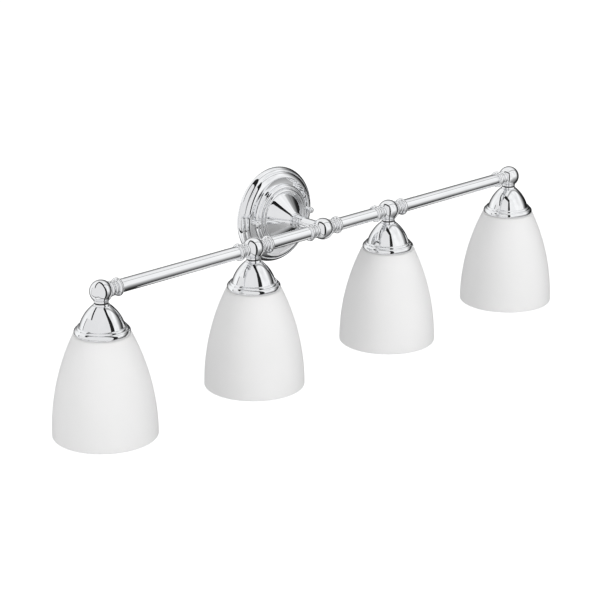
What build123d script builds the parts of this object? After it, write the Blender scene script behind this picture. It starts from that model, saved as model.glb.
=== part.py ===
from build123d import *
from math import asin, degrees, radians, sin, sqrt
import os

# Four-lamp vanity light bar, in millimetres.
# Origin: the wall plane at the canopy's centre. +X runs along the bar, +Y into the wall, +Z up.
# A turned piece is drawn as a half section and revolved about its own axis.

os.makedirs("parts", exist_ok=True)

# ---------------------------------------------------------------- driving dimensions
# Overall
lamp_spacing = 235.0  # between neighbouring lamps
lamp_count = 4
bar_reach = 92.0  # wall plane to the bar's axis
shade_height = 130.2  # top plate to rim
shade_rim_radius = 62.0

# Clearances
thread_clearance = 0.05  # radial, between a fixed thread and its hole
screw_hole_clearance = 0.5  # radial, round a screw that passes through
ring_clearance = 0.1  # radial, retaining ring on the lampholder's thread
glass_gap = 0.1  # between the glass and what clamps it

# Balls, bar tubes and collars
ball_radius = 13.5
bar_tube_radius = 8.0
bar_tube_wall = 1.0
collar_neck_length = 5.6
collar_small_bead_length = 4.1
collar_large_bead_length = 5.8
collar_small_bead_height = 2.1  # above the valleys beside it
collar_large_bead_height = 3.4
collar_neck_step = 0.5  # neck below the tube's surface
collar_neck_bulge = 1.8
collar_valley_depth = 0.7  # valleys between the beads, below the neck
collar_tail_length = 8.0  # inside the tube
spigot_radius = 5.6  # threaded end that screws into a ball
spigot_gap = 0.62  # between two spigots that meet at a right angle in a ball
passage_radius = 5.0  # way for the leads through a ball
lead_bore_radius = 4.4  # way for the leads through collars and arm

# Arm
arm_radius = 7.2
arm_thread_radius = 6.4
arm_thread_tail = 9.0  # behind the canopy's centre plate
arm_collar_radius = 8.3
arm_collar_length = 6.0

# Canopy
canopy_radius = 61.4
canopy_wall = 1.2
canopy_rim_lip = 0.6  # how far the back edge draws in from the widest line
canopy_rim_width = 4.2
canopy_rim_depth = 9.8
canopy_rim_widest = 0.6  # share of the rim's depth where it turns forward
canopy_inside_square = 1 / 3  # share of the rim depth that is straight on the inside
canopy_groove = 0.6
canopy_roll_width = 7.6
canopy_roll_depth = 5.2
canopy_floor_width = 7.6
canopy_cove_width = 1.5
canopy_cove_depth = 5.8
canopy_bead_width = 4.0
canopy_bead_height = 2.2

# Bell on the canopy
bell_bead_width = 5.1
bell_bead_height = 2.3
bell_tip_radius = 9.6
bell_length = 21.9
bell_wall = 1.6
bell_tip_thickness = 2.2
bell_seat_gap = 0.4  # radial, inside the canopy's bead

# Mounting plate and its fasteners
plate_thickness = 2.0
plate_width = 18.0
plate_end_margin = 5.0
box_screw_spacing = 79.4
box_slot_length = 14.0
box_slot_width = 4.8
wire_hole_radius = 11.0
plate_hub_radius = 19.0
stud_radius = 2.1
stud_nut_size = 8.0  # across flats
stud_nut_thickness = 3.0
ground_screw_radius = 2.4
ground_head_size = 8.0
ground_head_thickness = 3.0
ground_screw_angle = -90.0
cap_nut_base_radius = 3.3
cap_nut_base_thickness = 1.6
cap_nut_neck_radius = 2.7
cap_nut_ball_radius = 3.9
cap_nut_ball_height = 9.0  # canopy floor to ball centre
cap_nut_taper = 1.0  # length of the slope from base to neck
stud_engagement = 7.0
lock_nut_size = 20.0
lock_nut_thickness = 4.0
lock_washer_radius = 11.0
lock_washer_thickness = 1.2

# Neck, nipple and cap of each lamp
neck_ring_seat_angle = 39.57  # degrees from the lamp's axis to the ring's edge on the ball
neck_ring_height = 6.0
neck_ring_lip_height = 2.0  # above the groove
neck_ring_groove_height = 1.6
neck_ring_groove_depth = 2.2
neck_ring_flare = 0.9  # foot wider than the lip
nipple_radius = 4.86
nipple_bore_radius = 3.4
nipple_end = 5.406  # ball's centre to the nipple's upper end
nipple_holder_engagement = 7.0
nipple_nut_size = 14.0
nipple_nut_thickness = 3.0
cap_wall = 1.3
cap_top_margin = 1.6  # cap beyond the neck ring
nipple_nut_clearance = 0.6  # round the nut's corners, inside the cap
dome_height = 24.8
dome_bulge = 2.3
cap_ledge_width = 1.2
cap_small_bead_width = 1.8
cap_small_bead_height = 2.4
cap_flange_height = 6.8
cap_flange_wall = 2.5
cap_seat_drop = 3.5  # dome's foot to the glass seat
cap_neck_gap = 0.7  # radial, round the glass neck
cap_dome_inset = 0.6  # dome's foot further in than its ledge and bead need
neck_ring_chamfer = 0.5
cap_top_thickening = 0.65  # where the dome meets the cap's flat top

# Lampholder
screw_shell_radius = 13.25  # inside, for a 26 mm lamp base
screw_shell_wall = 0.5
screw_shell_length = 24.5
holder_wall = 4.0
holder_mouth_length = 11.5
holder_thread_step = 1.9
holder_top_gap = 3.1
holder_top_radius = 12.5
holder_top_height = 13.0
holder_shoulder_height = 3.5
holder_floor_thickness = 4.5
holder_chamber_radius = 8.5
shell_recess = 1.5  # shell set back from the mouth
contact_radius = 5.0
contact_thickness = 0.8
rivet_radius = 2.4
rivet_height = 1.0
terminal_screw_radius = 1.5
terminal_screw_length = 3.0
terminal_head_radius = 2.6
terminal_head_thickness = 1.8

# Shade and its ring
glass_wall = 3.0
glass_throat_rise = 1.0  # height of the slope from the inside curve to the throat
shade_plate_thickness = 3.5
shade_hole_gap = 1.1  # radial, round the lampholder's thread
ring_width = 5.2
ring_height = 6.0
ring_side_gap = 1.5  # radial, inside the glass neck
ring_notch_count = 8
ring_notch_radius = 2.2
ring_pitch = 2.5
ring_turns = 4
shade_shoulder_gap = 0.4  # below the cap's flange
shade_shoulder_step = 1.6  # shoulder beyond the flange

# Leads
lead_radius = 1.6
lead_offset = 1.8  # from the bore's centre
lead_bend = 6.0
lead_tail = 2.0  # past the arm's rear end

# ---------------------------------------------------------------- places worked out from them
bar_y = -bar_reach
lamp_positions = [(i - (lamp_count - 1) / 2) * lamp_spacing for i in range(lamp_count)]
neck_radius = bar_tube_radius - collar_neck_step
valley_radius = neck_radius - collar_valley_depth
neck_ring_radius = ball_radius * sin(radians(neck_ring_seat_angle))
spigot_end = spigot_radius + spigot_gap  # from the ball's centre


def seat_distance(flat_radius):
    """Distance from a ball's centre to a flat of this radius on it."""
    return sqrt(ball_radius**2 - flat_radius**2)


collar_seat = seat_distance(neck_radius)
arm_seat = seat_distance(arm_radius)
lamp_seat = seat_distance(neck_ring_radius)
nipple_ball_engagement = lamp_seat - nipple_end
collar_length = collar_neck_length + collar_small_bead_length + collar_large_bead_length
collar_end = collar_seat + collar_length

canopy_groove_radius = canopy_radius - canopy_rim_width
canopy_shoulder_radius = canopy_groove_radius - canopy_roll_width
canopy_floor_radius = canopy_shoulder_radius - canopy_floor_width
canopy_bead_radius = canopy_floor_radius - canopy_cove_width
bell_seat_radius = canopy_bead_radius - canopy_bead_width
floor_depth = canopy_rim_depth - canopy_groove + canopy_roll_depth - canopy_groove
bead_depth = floor_depth + canopy_cove_depth
centre_depth = bead_depth + canopy_groove
bell_base_radius = bell_seat_radius - bell_seat_gap
bell_foot_radius = bell_base_radius - bell_bead_width
tip_depth = centre_depth + bell_length
stud_position = (canopy_shoulder_radius - canopy_groove + canopy_floor_radius) / 2
arm_rear_depth = centre_depth - canopy_wall - arm_thread_tail

cap_top = -(lamp_seat + neck_ring_height)
dome_foot = cap_top - dome_height
small_bead_foot = dome_foot - cap_small_bead_height
flange_foot = small_bead_foot - cap_flange_height
glass_seat = dome_foot - cap_seat_drop
shade_top = glass_seat - glass_gap
plate_underside = shade_top - shade_plate_thickness
ring_top = plate_underside - glass_gap
ring_travel = ring_pitch * ring_turns
holder_top = cap_top - cap_wall - nipple_nut_thickness - holder_top_gap
holder_shoulder = holder_top - holder_top_height - holder_shoulder_height
thread_end = ring_top - ring_travel
holder_mouth = thread_end - holder_mouth_length
shell_bottom = holder_mouth + shell_recess
shell_top = shell_bottom + screw_shell_length
holder_floor = shell_top + contact_thickness + rivet_height
chamber_floor = holder_floor + holder_floor_thickness
screw_height = holder_top - holder_top_height / 2

holder_bore = screw_shell_radius + screw_shell_wall + thread_clearance
mouth_radius = holder_bore + holder_wall
holder_thread_radius = mouth_radius + holder_thread_step
ring_bore = holder_thread_radius + ring_clearance
ring_radius = ring_bore + ring_width
glass_neck_inner = ring_radius + ring_side_gap
glass_neck_radius = glass_neck_inner + glass_wall
flange_inner = glass_neck_radius + cap_neck_gap
flange_radius = flange_inner + cap_flange_wall
dome_foot_radius = flange_inner - cap_ledge_width - cap_small_bead_width - cap_dome_inset
shade_hole_radius = holder_thread_radius + shade_hole_gap


# ---------------------------------------------------------------- helpers
def save(piece, name):
    """Label a finished piece and write it under its own name."""
    piece.part.label = name
    export_step(piece.part, f"parts/{name}.step")


def lamp_plane(lamp_x):
    """Section plane of a lamp: local x is the radius, local y is height."""
    return Plane(origin=(lamp_x, bar_y, 0), x_dir=(1, 0, 0), z_dir=(0, -1, 0))


def lamp_axis(lamp_x):
    return Axis((lamp_x, bar_y, 0), (0, 0, 1))


def level(lamp_x, height):
    """Horizontal plane on a lamp's axis at a height."""
    return Plane(origin=(lamp_x, bar_y, height), x_dir=(1, 0, 0), z_dir=(0, 0, 1))


def facing_wall(depth, x=0.0, z=0.0):
    """Upright plane at a depth in front of the wall, looking away from it."""
    return Plane(origin=(x, -depth, z), x_dir=(1, 0, 0), z_dir=(0, -1, 0))


def hex_radius(across_flats):
    return across_flats / sqrt(3)


def bore_out(plane, radius):
    """Cut away a round column that starts on a plane and runs out of the ball."""
    with BuildSketch(plane) as outline:
        Circle(radius)
    extrude(outline.sketch, amount=2 * ball_radius, mode=Mode.SUBTRACT)


def cut_joint(face, seat, bore_radius, depth, passage):
    """Cut a ball's flat seat, threaded hole and way for the leads; face looks out from the centre."""
    bore_out(face.offset(seat), 2 * ball_radius)
    bore_out(face.offset(seat - depth), bore_radius)
    bore_out(face.offset(-lead_radius), passage)


def bulged_arc(start, end, bulge):
    """Arc from start to end that stands out to the left of the way between them."""
    across = (end[0] - start[0], end[1] - start[1])
    length = sqrt(across[0] ** 2 + across[1] ** 2)
    middle_x = (start[0] + end[0]) / 2 - bulge * across[1] / length
    middle_y = (start[1] + end[1]) / 2 + bulge * across[0] / length
    return ThreePointArc(start, (middle_x, middle_y), end)


# ---------------------------------------------------------------- mounting plate
with BuildPart() as mounting_plate:
    with BuildSketch(facing_wall(0.0)):
        slot_reach = box_screw_spacing / 2 + box_slot_length / 2
        SlotOverall(2 * (slot_reach + plate_end_margin / 2), plate_width, rotation=90)
        SlotOverall(2 * (stud_position + plate_end_margin), plate_width)
        Circle(plate_hub_radius)
        Circle(wire_hole_radius, mode=Mode.SUBTRACT)
        with Locations((0, box_screw_spacing / 2), (0, -box_screw_spacing / 2)):
            SlotOverall(box_slot_length, box_slot_width, rotation=90, mode=Mode.SUBTRACT)
        with Locations((stud_position, 0), (-stud_position, 0)):
            Circle(stud_radius + thread_clearance, mode=Mode.SUBTRACT)
        with PolarLocations((wire_hole_radius + plate_hub_radius) / 2, 1, start_angle=ground_screw_angle):
            Circle(ground_screw_radius + thread_clearance, mode=Mode.SUBTRACT)
    extrude(amount=plate_thickness)
save(mounting_plate, "mounting_plate")

with BuildPart() as ground_screw:
    with BuildSketch(facing_wall(plate_thickness)):
        with PolarLocations((wire_hole_radius + plate_hub_radius) / 2, 1, start_angle=ground_screw_angle):
            RegularPolygon(hex_radius(ground_head_size), 6)
    extrude(amount=ground_head_thickness)
    with BuildSketch(facing_wall(0.0)):
        with PolarLocations((wire_hole_radius + plate_hub_radius) / 2, 1, start_angle=ground_screw_angle):
            Circle(ground_screw_radius)
    extrude(amount=plate_thickness)
save(ground_screw, "ground_screw")

with BuildPart() as canopy_studs:
    with BuildSketch(facing_wall(0.0)):
        with Locations((stud_position, 0), (-stud_position, 0)):
            Circle(stud_radius)
    extrude(amount=floor_depth + stud_engagement)
save(canopy_studs, "canopy_studs")

with BuildPart() as stud_lock_nuts:
    with BuildSketch(facing_wall(plate_thickness)):
        with Locations((stud_position, 0), (-stud_position, 0)):
            RegularPolygon(hex_radius(stud_nut_size), 6)
            Circle(stud_radius + thread_clearance, mode=Mode.SUBTRACT)
    extrude(amount=stud_nut_thickness)
save(stud_lock_nuts, "stud_lock_nuts")

# ---------------------------------------------------------------- canopy
with BuildPart() as canopy:
    with BuildSketch(Plane.XY):
        with BuildLine():
            rim_back = (canopy_radius - canopy_rim_lip, 0)
            rim_front = (canopy_groove_radius, -canopy_rim_depth)
            rim_middle = (canopy_radius - canopy_rim_lip, -canopy_rim_depth * canopy_rim_widest)
            ThreePointArc(rim_back, rim_middle, rim_front)
            groove = (canopy_groove_radius - canopy_groove, -(canopy_rim_depth - canopy_groove))
            Line(rim_front, groove)
            shoulder = (canopy_shoulder_radius, -(floor_depth + canopy_groove))
            bulged_arc(groove, shoulder, canopy_wall)
            floor_edge = (canopy_shoulder_radius - canopy_groove, -floor_depth)
            Line(shoulder, floor_edge)
            floor_inner = (canopy_floor_radius, -floor_depth)
            Line(floor_edge, floor_inner)
            cove_top = (canopy_bead_radius, -bead_depth)
            bulged_arc(floor_inner, cove_top, -canopy_groove)
            bead_end = (bell_seat_radius, -(centre_depth + canopy_groove))
            bulged_arc(cove_top, bead_end, canopy_bead_height / 2)
            bead_foot = (bell_seat_radius, -centre_depth)
            Line(bead_end, bead_foot)
            hole = (arm_thread_radius + thread_clearance, -centre_depth)
            Line(bead_foot, hole)
            Polyline(
                hole,
                (arm_thread_radius + thread_clearance, -(centre_depth - canopy_wall)),
                (canopy_bead_radius - canopy_wall, -(centre_depth - canopy_wall)),
                (canopy_bead_radius - canopy_wall, -(floor_depth - canopy_wall)),
                (canopy_shoulder_radius - canopy_wall, -(floor_depth - canopy_wall)),
                (canopy_groove_radius - canopy_wall, -(canopy_rim_depth - 2 * canopy_wall)),
                (canopy_radius - canopy_rim_lip - canopy_wall, -canopy_rim_depth * canopy_inside_square),
                (canopy_radius - canopy_rim_lip - canopy_wall, 0),
                rim_back,
            )
        make_face()
    revolve(axis=Axis.Y)
    with BuildSketch(facing_wall(0.0)):
        with Locations((stud_position, 0), (-stud_position, 0)):
            Circle(stud_radius + screw_hole_clearance)
    extrude(amount=tip_depth, mode=Mode.SUBTRACT)
save(canopy, "canopy")

with BuildPart() as cap_nuts:
    for side in (-1, 1):
        nut_plane = Plane(origin=(side * stud_position, -floor_depth, 0), x_dir=(1, 0, 0), z_dir=(0, 0, 1))
        with BuildSketch(nut_plane):
            with BuildLine():
                ball_foot = cap_nut_ball_height - sqrt(cap_nut_ball_radius**2 - cap_nut_neck_radius**2)
                ball_tip = cap_nut_ball_height + cap_nut_ball_radius
                Polyline(
                    (0, -ball_tip),
                    (0, 0),
                    (cap_nut_base_radius, 0),
                    (cap_nut_base_radius, -cap_nut_base_thickness),
                    (cap_nut_neck_radius, -(cap_nut_base_thickness + cap_nut_taper)),
                    (cap_nut_neck_radius, -ball_foot),
                )
                ThreePointArc(
                    (cap_nut_neck_radius, -ball_foot),
                    (cap_nut_ball_radius, -cap_nut_ball_height),
                    (0, -ball_tip),
                )
            make_face()
        revolve(axis=Axis((side * stud_position, 0, 0), (0, 1, 0)))
        with BuildSketch(facing_wall(floor_depth, side * stud_position)):
            Circle(stud_radius + thread_clearance)
        extrude(amount=stud_engagement, mode=Mode.SUBTRACT)
save(cap_nuts, "cap_nuts")

# ---------------------------------------------------------------- bell and arm
with BuildPart() as bell:
    with BuildSketch(Plane.XY):
        with BuildLine():
            base = (bell_base_radius, -centre_depth)
            foot = (bell_foot_radius, -(centre_depth + canopy_groove))
            bulged_arc(base, foot, bell_bead_height)
            slant = sqrt(2) * bell_wall
            Polyline(
                foot,
                (bell_tip_radius, -tip_depth),
                (arm_thread_radius + thread_clearance, -tip_depth),
                (arm_thread_radius + thread_clearance, -(tip_depth - bell_tip_thickness)),
                (bell_tip_radius, -(tip_depth - bell_tip_thickness)),
                (bell_foot_radius - slant, -(centre_depth + canopy_groove)),
                (bell_foot_radius - slant, -centre_depth),
                base,
            )
        make_face()
    revolve(axis=Axis.Y)
save(bell, "bell")

with BuildPart() as arm_tube:
    with BuildSketch(facing_wall(tip_depth)):
        Circle(arm_radius)
    extrude(amount=bar_reach - arm_seat - tip_depth)
    with BuildSketch(facing_wall(arm_rear_depth)):
        Circle(arm_thread_radius)
    extrude(amount=tip_depth - arm_rear_depth)
    with BuildSketch(facing_wall(bar_reach - arm_seat)):
        Circle(spigot_radius)
    extrude(amount=arm_seat - spigot_end)
    with BuildSketch(facing_wall(0.0)):
        Circle(lead_bore_radius)
    extrude(amount=bar_reach, mode=Mode.SUBTRACT)
save(arm_tube, "arm_tube")

with BuildPart() as arm_collar:
    with BuildSketch(facing_wall(tip_depth)):
        Circle(arm_collar_radius)
        Circle(arm_radius + thread_clearance, mode=Mode.SUBTRACT)
    extrude(amount=arm_collar_length)
    front_edge = arm_collar.edges().group_by(Axis.Y)[0].sort_by(SortBy.RADIUS)[-1]
    fillet(front_edge, (arm_collar_radius - arm_radius) / 2)
save(arm_collar, "arm_collar")

washer_depth = centre_depth - canopy_wall - lock_washer_thickness
with BuildPart() as arm_lock_washer:
    with BuildSketch(facing_wall(washer_depth)):
        Circle(lock_washer_radius)
        Circle(arm_thread_radius + thread_clearance, mode=Mode.SUBTRACT)
    extrude(amount=lock_washer_thickness)
save(arm_lock_washer, "arm_lock_washer")

with BuildPart() as arm_lock_nut:
    with BuildSketch(facing_wall(washer_depth - lock_nut_thickness)):
        RegularPolygon(hex_radius(lock_nut_size), 6)
        Circle(arm_thread_radius + thread_clearance, mode=Mode.SUBTRACT)
    extrude(amount=lock_nut_thickness)
save(arm_lock_nut, "arm_lock_nut")

# ---------------------------------------------------------------- balls
bore_radius = spigot_radius + thread_clearance
with BuildPart() as center_ball:
    with Locations((0, bar_y, 0)):
        Sphere(ball_radius, rotation=(0, 0, -90))
    for side in (-1, 1):
        outward = Plane(origin=(0, bar_y, 0), x_dir=(0, 1, 0), z_dir=(side, 0, 0))
        cut_joint(outward, collar_seat, bore_radius, collar_seat - spigot_end, passage_radius)
    rearward = Plane(origin=(0, bar_y, 0), x_dir=(1, 0, 0), z_dir=(0, 1, 0))
    cut_joint(rearward, arm_seat, bore_radius, arm_seat - spigot_end, passage_radius)
save(center_ball, "center_ball")

for number, lamp_x in enumerate(lamp_positions, 1):
    with BuildPart() as lamp_ball:
        with Locations((lamp_x, bar_y, 0)):
            Sphere(ball_radius, rotation=(0, 0, -90))
        for side in (-1, 1):
            if abs(lamp_x + side) > abs(lamp_positions[0]):
                continue  # an end lamp has no bar on its outer side
            outward = Plane(origin=(lamp_x, bar_y, 0), x_dir=(0, 1, 0), z_dir=(side, 0, 0))
            cut_joint(outward, collar_seat, bore_radius, collar_seat - spigot_end, passage_radius)
        downward = Plane(origin=(lamp_x, bar_y, 0), x_dir=(1, 0, 0), z_dir=(0, 0, -1))
        nipple_hole = nipple_radius + thread_clearance
        cut_joint(downward, lamp_seat, nipple_hole, nipple_ball_engagement, nipple_hole)
    save(lamp_ball, f"lamp_ball_{number}")

# ---------------------------------------------------------------- collars and bar tubes
hub_positions = sorted([*lamp_positions, 0.0])
bar_spans = list(zip(hub_positions[:-1], hub_positions[1:]))
collar_number = 0
for number, (left_hub, right_hub) in enumerate(bar_spans, 1):
    for hub_x, side in ((left_hub, 1), (right_hub, -1)):
        collar_number += 1
        with BuildPart() as bar_collar:
            section = Plane(origin=(hub_x, bar_y, 0), x_dir=(side, 0, 0), z_dir=(0, 0, side))
            with BuildSketch(section):
                with BuildLine():
                    neck_end = collar_seat + collar_neck_length
                    bead_gap = neck_end + collar_small_bead_length
                    tail_radius = bar_tube_radius - bar_tube_wall - thread_clearance
                    Polyline(
                        (spigot_end, lead_bore_radius),
                        (spigot_end, spigot_radius),
                        (collar_seat, spigot_radius),
                        (collar_seat, neck_radius),
                    )
                    bulged_arc((collar_seat, neck_radius), (neck_end, valley_radius), collar_neck_bulge)
                    bulged_arc((neck_end, valley_radius), (bead_gap, valley_radius), collar_small_bead_height)
                    bulged_arc(
                        (bead_gap, valley_radius), (collar_end, bar_tube_radius), collar_large_bead_height
                    )
                    Polyline(
                        (collar_end, bar_tube_radius),
                        (collar_end, tail_radius),
                        (collar_end + collar_tail_length, tail_radius),
                        (collar_end + collar_tail_length, lead_bore_radius),
                        (spigot_end, lead_bore_radius),
                    )
                make_face()
            revolve(axis=Axis((hub_x, bar_y, 0), (1, 0, 0)))
        save(bar_collar, f"bar_collar_{collar_number}")
    with BuildPart() as bar_tube:
        with BuildSketch(Plane(origin=(left_hub + collar_end, bar_y, 0), x_dir=(0, 1, 0), z_dir=(1, 0, 0))):
            Circle(bar_tube_radius)
            Circle(bar_tube_radius - bar_tube_wall, mode=Mode.SUBTRACT)
        extrude(amount=right_hub - left_hub - 2 * collar_end)
    save(bar_tube, f"bar_tube_{number}")

# ---------------------------------------------------------------- pieces of each lamp
for number, lamp_x in enumerate(lamp_positions, 1):
    with BuildPart() as neck_ring:
        with BuildSketch(lamp_plane(lamp_x)):
            with BuildLine():
                hole_radius = nipple_radius + thread_clearance
                ring_seat = -lamp_seat
                groove_top = ring_seat - neck_ring_lip_height
                groove_foot = groove_top - neck_ring_groove_height
                groove_radius = neck_ring_radius - neck_ring_groove_depth
                foot_radius = neck_ring_radius + neck_ring_flare
                Polyline(
                    (hole_radius, ring_seat),
                    (neck_ring_radius, ring_seat),
                    (neck_ring_radius, groove_top),
                    (groove_radius, groove_top),
                    (groove_radius, groove_foot),
                    (neck_ring_radius, groove_foot),
                    (foot_radius, cap_top + neck_ring_chamfer),
                    (foot_radius - neck_ring_chamfer, cap_top),
                    (hole_radius, cap_top),
                    close=True,
                )
            make_face()
        revolve(axis=lamp_axis(lamp_x))
    save(neck_ring, f"neck_ring_{number}")

    with BuildPart() as holder_cap:
        with BuildSketch(lamp_plane(lamp_x)):
            with BuildLine():
                room_for_nut = hex_radius(nipple_nut_size) + nipple_nut_clearance + cap_wall
                cap_top_radius = max(neck_ring_radius + cap_top_margin, room_for_nut)
                ledge_radius = dome_foot_radius + cap_ledge_width
                bead_radius = ledge_radius + cap_small_bead_width
                inner_foot = (dome_foot_radius - cap_wall, glass_seat)
                inner_spring = (dome_foot_radius - cap_wall, dome_foot)
                inner_top = (cap_top_radius - cap_wall, cap_top - cap_wall - cap_top_thickening)
                hole_radius = nipple_radius + thread_clearance
                bulged_arc((cap_top_radius, cap_top), (dome_foot_radius, dome_foot), dome_bulge)
                Line((dome_foot_radius, dome_foot), (ledge_radius, dome_foot))
                bulged_arc((ledge_radius, dome_foot), (bead_radius, small_bead_foot), cap_wall / 2)
                flange_middle = (flange_radius, (small_bead_foot + flange_foot) / 2)
                flange_end = (flange_radius - cap_wall, flange_foot)
                ThreePointArc((bead_radius, small_bead_foot), flange_middle, flange_end)
                Polyline(
                    flange_end,
                    (flange_inner, flange_foot),
                    (flange_inner, glass_seat),
                    inner_foot,
                    inner_spring,
                )
                bulged_arc(inner_spring, inner_top, -dome_bulge)
                Polyline(
                    inner_top,
                    (inner_top[0], cap_top - cap_wall),
                    (hole_radius, cap_top - cap_wall),
                    (hole_radius, cap_top),
                    (cap_top_radius, cap_top),
                )
            make_face()
        revolve(axis=lamp_axis(lamp_x))
    save(holder_cap, f"holder_cap_{number}")

    with BuildPart() as lampholder:
        with BuildSketch(lamp_plane(lamp_x)):
            with BuildLine():
                hole_radius = nipple_radius + thread_clearance
                chamber_top = holder_top - nipple_holder_engagement
                Polyline(
                    (hole_radius, holder_top),
                    (holder_top_radius, holder_top),
                    (holder_top_radius, holder_top - holder_top_height),
                    (holder_thread_radius, holder_shoulder),
                    (holder_thread_radius, thread_end),
                    (mouth_radius, thread_end),
                    (mouth_radius, holder_mouth),
                    (holder_bore, holder_mouth),
                    (holder_bore, holder_floor),
                    (0, holder_floor),
                    (0, chamber_floor),
                    (holder_chamber_radius, chamber_floor),
                    (holder_chamber_radius, chamber_top),
                    (hole_radius, chamber_top),
                    close=True,
                )
            make_face()
        revolve(axis=lamp_axis(lamp_x))
        for side in (-1, 1):
            edge_x = lamp_x + side * (holder_top_radius - terminal_screw_length)
            inward_end = Plane(origin=(edge_x, bar_y, screw_height), x_dir=(0, 1, 0), z_dir=(side, 0, 0))
            with BuildSketch(inward_end):
                Circle(terminal_screw_radius + thread_clearance)
            extrude(amount=holder_top_radius, mode=Mode.SUBTRACT)
    save(lampholder, f"lampholder_{number}")

    with BuildPart() as screw_shell:
        with BuildSketch(level(lamp_x, shell_bottom)):
            Circle(screw_shell_radius + screw_shell_wall)
            Circle(screw_shell_radius, mode=Mode.SUBTRACT)
        extrude(amount=screw_shell_length)
    save(screw_shell, f"screw_shell_{number}")

    with BuildPart() as retaining_ring:
        with BuildSketch(level(lamp_x, ring_top - ring_height)):
            Circle(ring_radius)
            Circle(ring_bore, mode=Mode.SUBTRACT)
            with PolarLocations(ring_radius, ring_notch_count):
                Circle(ring_notch_radius, mode=Mode.SUBTRACT)
        extrude(amount=ring_height)
    save(retaining_ring, f"retaining_ring_{number}")

    with BuildPart() as glass_shade:
        with BuildSketch(lamp_plane(lamp_x)):
            with BuildLine():
                rim_height = shade_top - shade_height + glass_wall / 2
                shoulder_radius = flange_radius + shade_shoulder_step
                shoulder_height = flange_foot - shade_shoulder_gap - shade_shoulder_step / 2
                rise = shoulder_height - rim_height
                spread = shade_rim_radius - shoulder_radius
                side_radius = (rise**2 + spread**2) / (2 * spread)
                side_angle = degrees(asin(rise / side_radius))
                outer = JernArc((shade_rim_radius, rim_height), (0, 1), side_radius, side_angle)
                neck_foot = (glass_neck_radius, flange_foot)
                shoulder_turn = (flange_radius, flange_foot - shade_shoulder_gap)
                Polyline(outer @ 1, shoulder_turn, neck_foot, (glass_neck_radius, shade_top))
                Polyline(
                    (glass_neck_radius, shade_top),
                    (shade_hole_radius, shade_top),
                    (shade_hole_radius, plate_underside),
                    (glass_neck_inner, plate_underside),
                )
                inner = JernArc(
                    (shade_rim_radius - glass_wall, rim_height), (0, 1), side_radius - glass_wall, side_angle
                )
                inner_turn = (glass_neck_inner, (inner @ 1).Y + glass_throat_rise)
                Polyline((glass_neck_inner, plate_underside), inner_turn, inner @ 1)
                ThreePointArc(
                    inner @ 0,
                    (shade_rim_radius - glass_wall / 2, rim_height - glass_wall / 2),
                    outer @ 0,
                )
            make_face()
        revolve(axis=lamp_axis(lamp_x))
    save(glass_shade, f"glass_shade_{number}")

# ---------------------------------------------------------------- small repeated hardware
with BuildPart() as lamp_nipples:
    for lamp_x in lamp_positions:
        nipple_top = nipple_ball_engagement - lamp_seat
        nipple_bottom = holder_top - nipple_holder_engagement
        with BuildSketch(level(lamp_x, nipple_bottom)):
            Circle(nipple_radius)
            Circle(nipple_bore_radius, mode=Mode.SUBTRACT)
        extrude(amount=nipple_top - nipple_bottom)
save(lamp_nipples, "lamp_nipples")

with BuildPart() as nipple_nuts:
    for lamp_x in lamp_positions:
        with BuildSketch(level(lamp_x, cap_top - cap_wall - nipple_nut_thickness)):
            RegularPolygon(hex_radius(nipple_nut_size), 6)
            Circle(nipple_radius + thread_clearance, mode=Mode.SUBTRACT)
        extrude(amount=nipple_nut_thickness)
save(nipple_nuts, "nipple_nuts")

with BuildPart() as center_contacts:
    for lamp_x in lamp_positions:
        with BuildSketch(level(lamp_x, holder_floor - contact_thickness)):
            Circle(contact_radius)
        extrude(amount=contact_thickness)
        with BuildSketch(level(lamp_x, holder_floor - contact_thickness - rivet_height)):
            Circle(rivet_radius)
        extrude(amount=rivet_height)
save(center_contacts, "center_contacts")

with BuildPart() as terminal_screws:
    for lamp_x in lamp_positions:
        for side in (-1, 1):
            head_x = lamp_x + side * holder_top_radius
            outward = Plane(origin=(head_x, bar_y, screw_height), x_dir=(0, 1, 0), z_dir=(side, 0, 0))
            with BuildSketch(outward):
                Circle(terminal_head_radius)
            extrude(amount=terminal_head_thickness)
            with BuildSketch(outward):
                Circle(terminal_screw_radius)
            extrude(amount=-terminal_screw_length)
save(terminal_screws, "terminal_screws")

# ---------------------------------------------------------------- leads
# One lead per lamp: through the arm, round into the bar, then down the lamp's nipple.
with BuildPart() as lamp_leads:
    for lamp_x in lamp_positions:
        start_x = lead_offset if lamp_x > 0 else -lead_offset
        run_z = lead_offset if abs(lamp_x) > lamp_spacing else -lead_offset
        lead_end = holder_top - nipple_holder_engagement - lead_tail
        with BuildLine() as route:
            FilletPolyline(
                (start_x, -(arm_rear_depth - lead_tail), run_z),
                (start_x, bar_y, run_z),
                (lamp_x, bar_y, run_z),
                (lamp_x, bar_y, lead_end),
                radius=lead_bend,
            )
        with BuildSketch(Plane(origin=route.line @ 0, z_dir=route.line % 0)):
            Circle(lead_radius)
        sweep(path=route.line)
save(lamp_leads, "lamp_leads")
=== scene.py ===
"""Vanity light bar: finished surfaces and studio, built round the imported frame.

Everything is in metres in the frame's own axes: +X along the bar, +Y into the wall, +Z up.
Turned pieces are profiles of (radius, distance along the axis) carried round that axis as one grid.
"""

import math

import bpy
import numpy as np
from bpy.props import FloatProperty, FloatVectorProperty, IntProperty, PointerProperty
from bpy.types import Operator, Panel, PropertyGroup
from mathutils import Matrix, Vector


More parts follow.
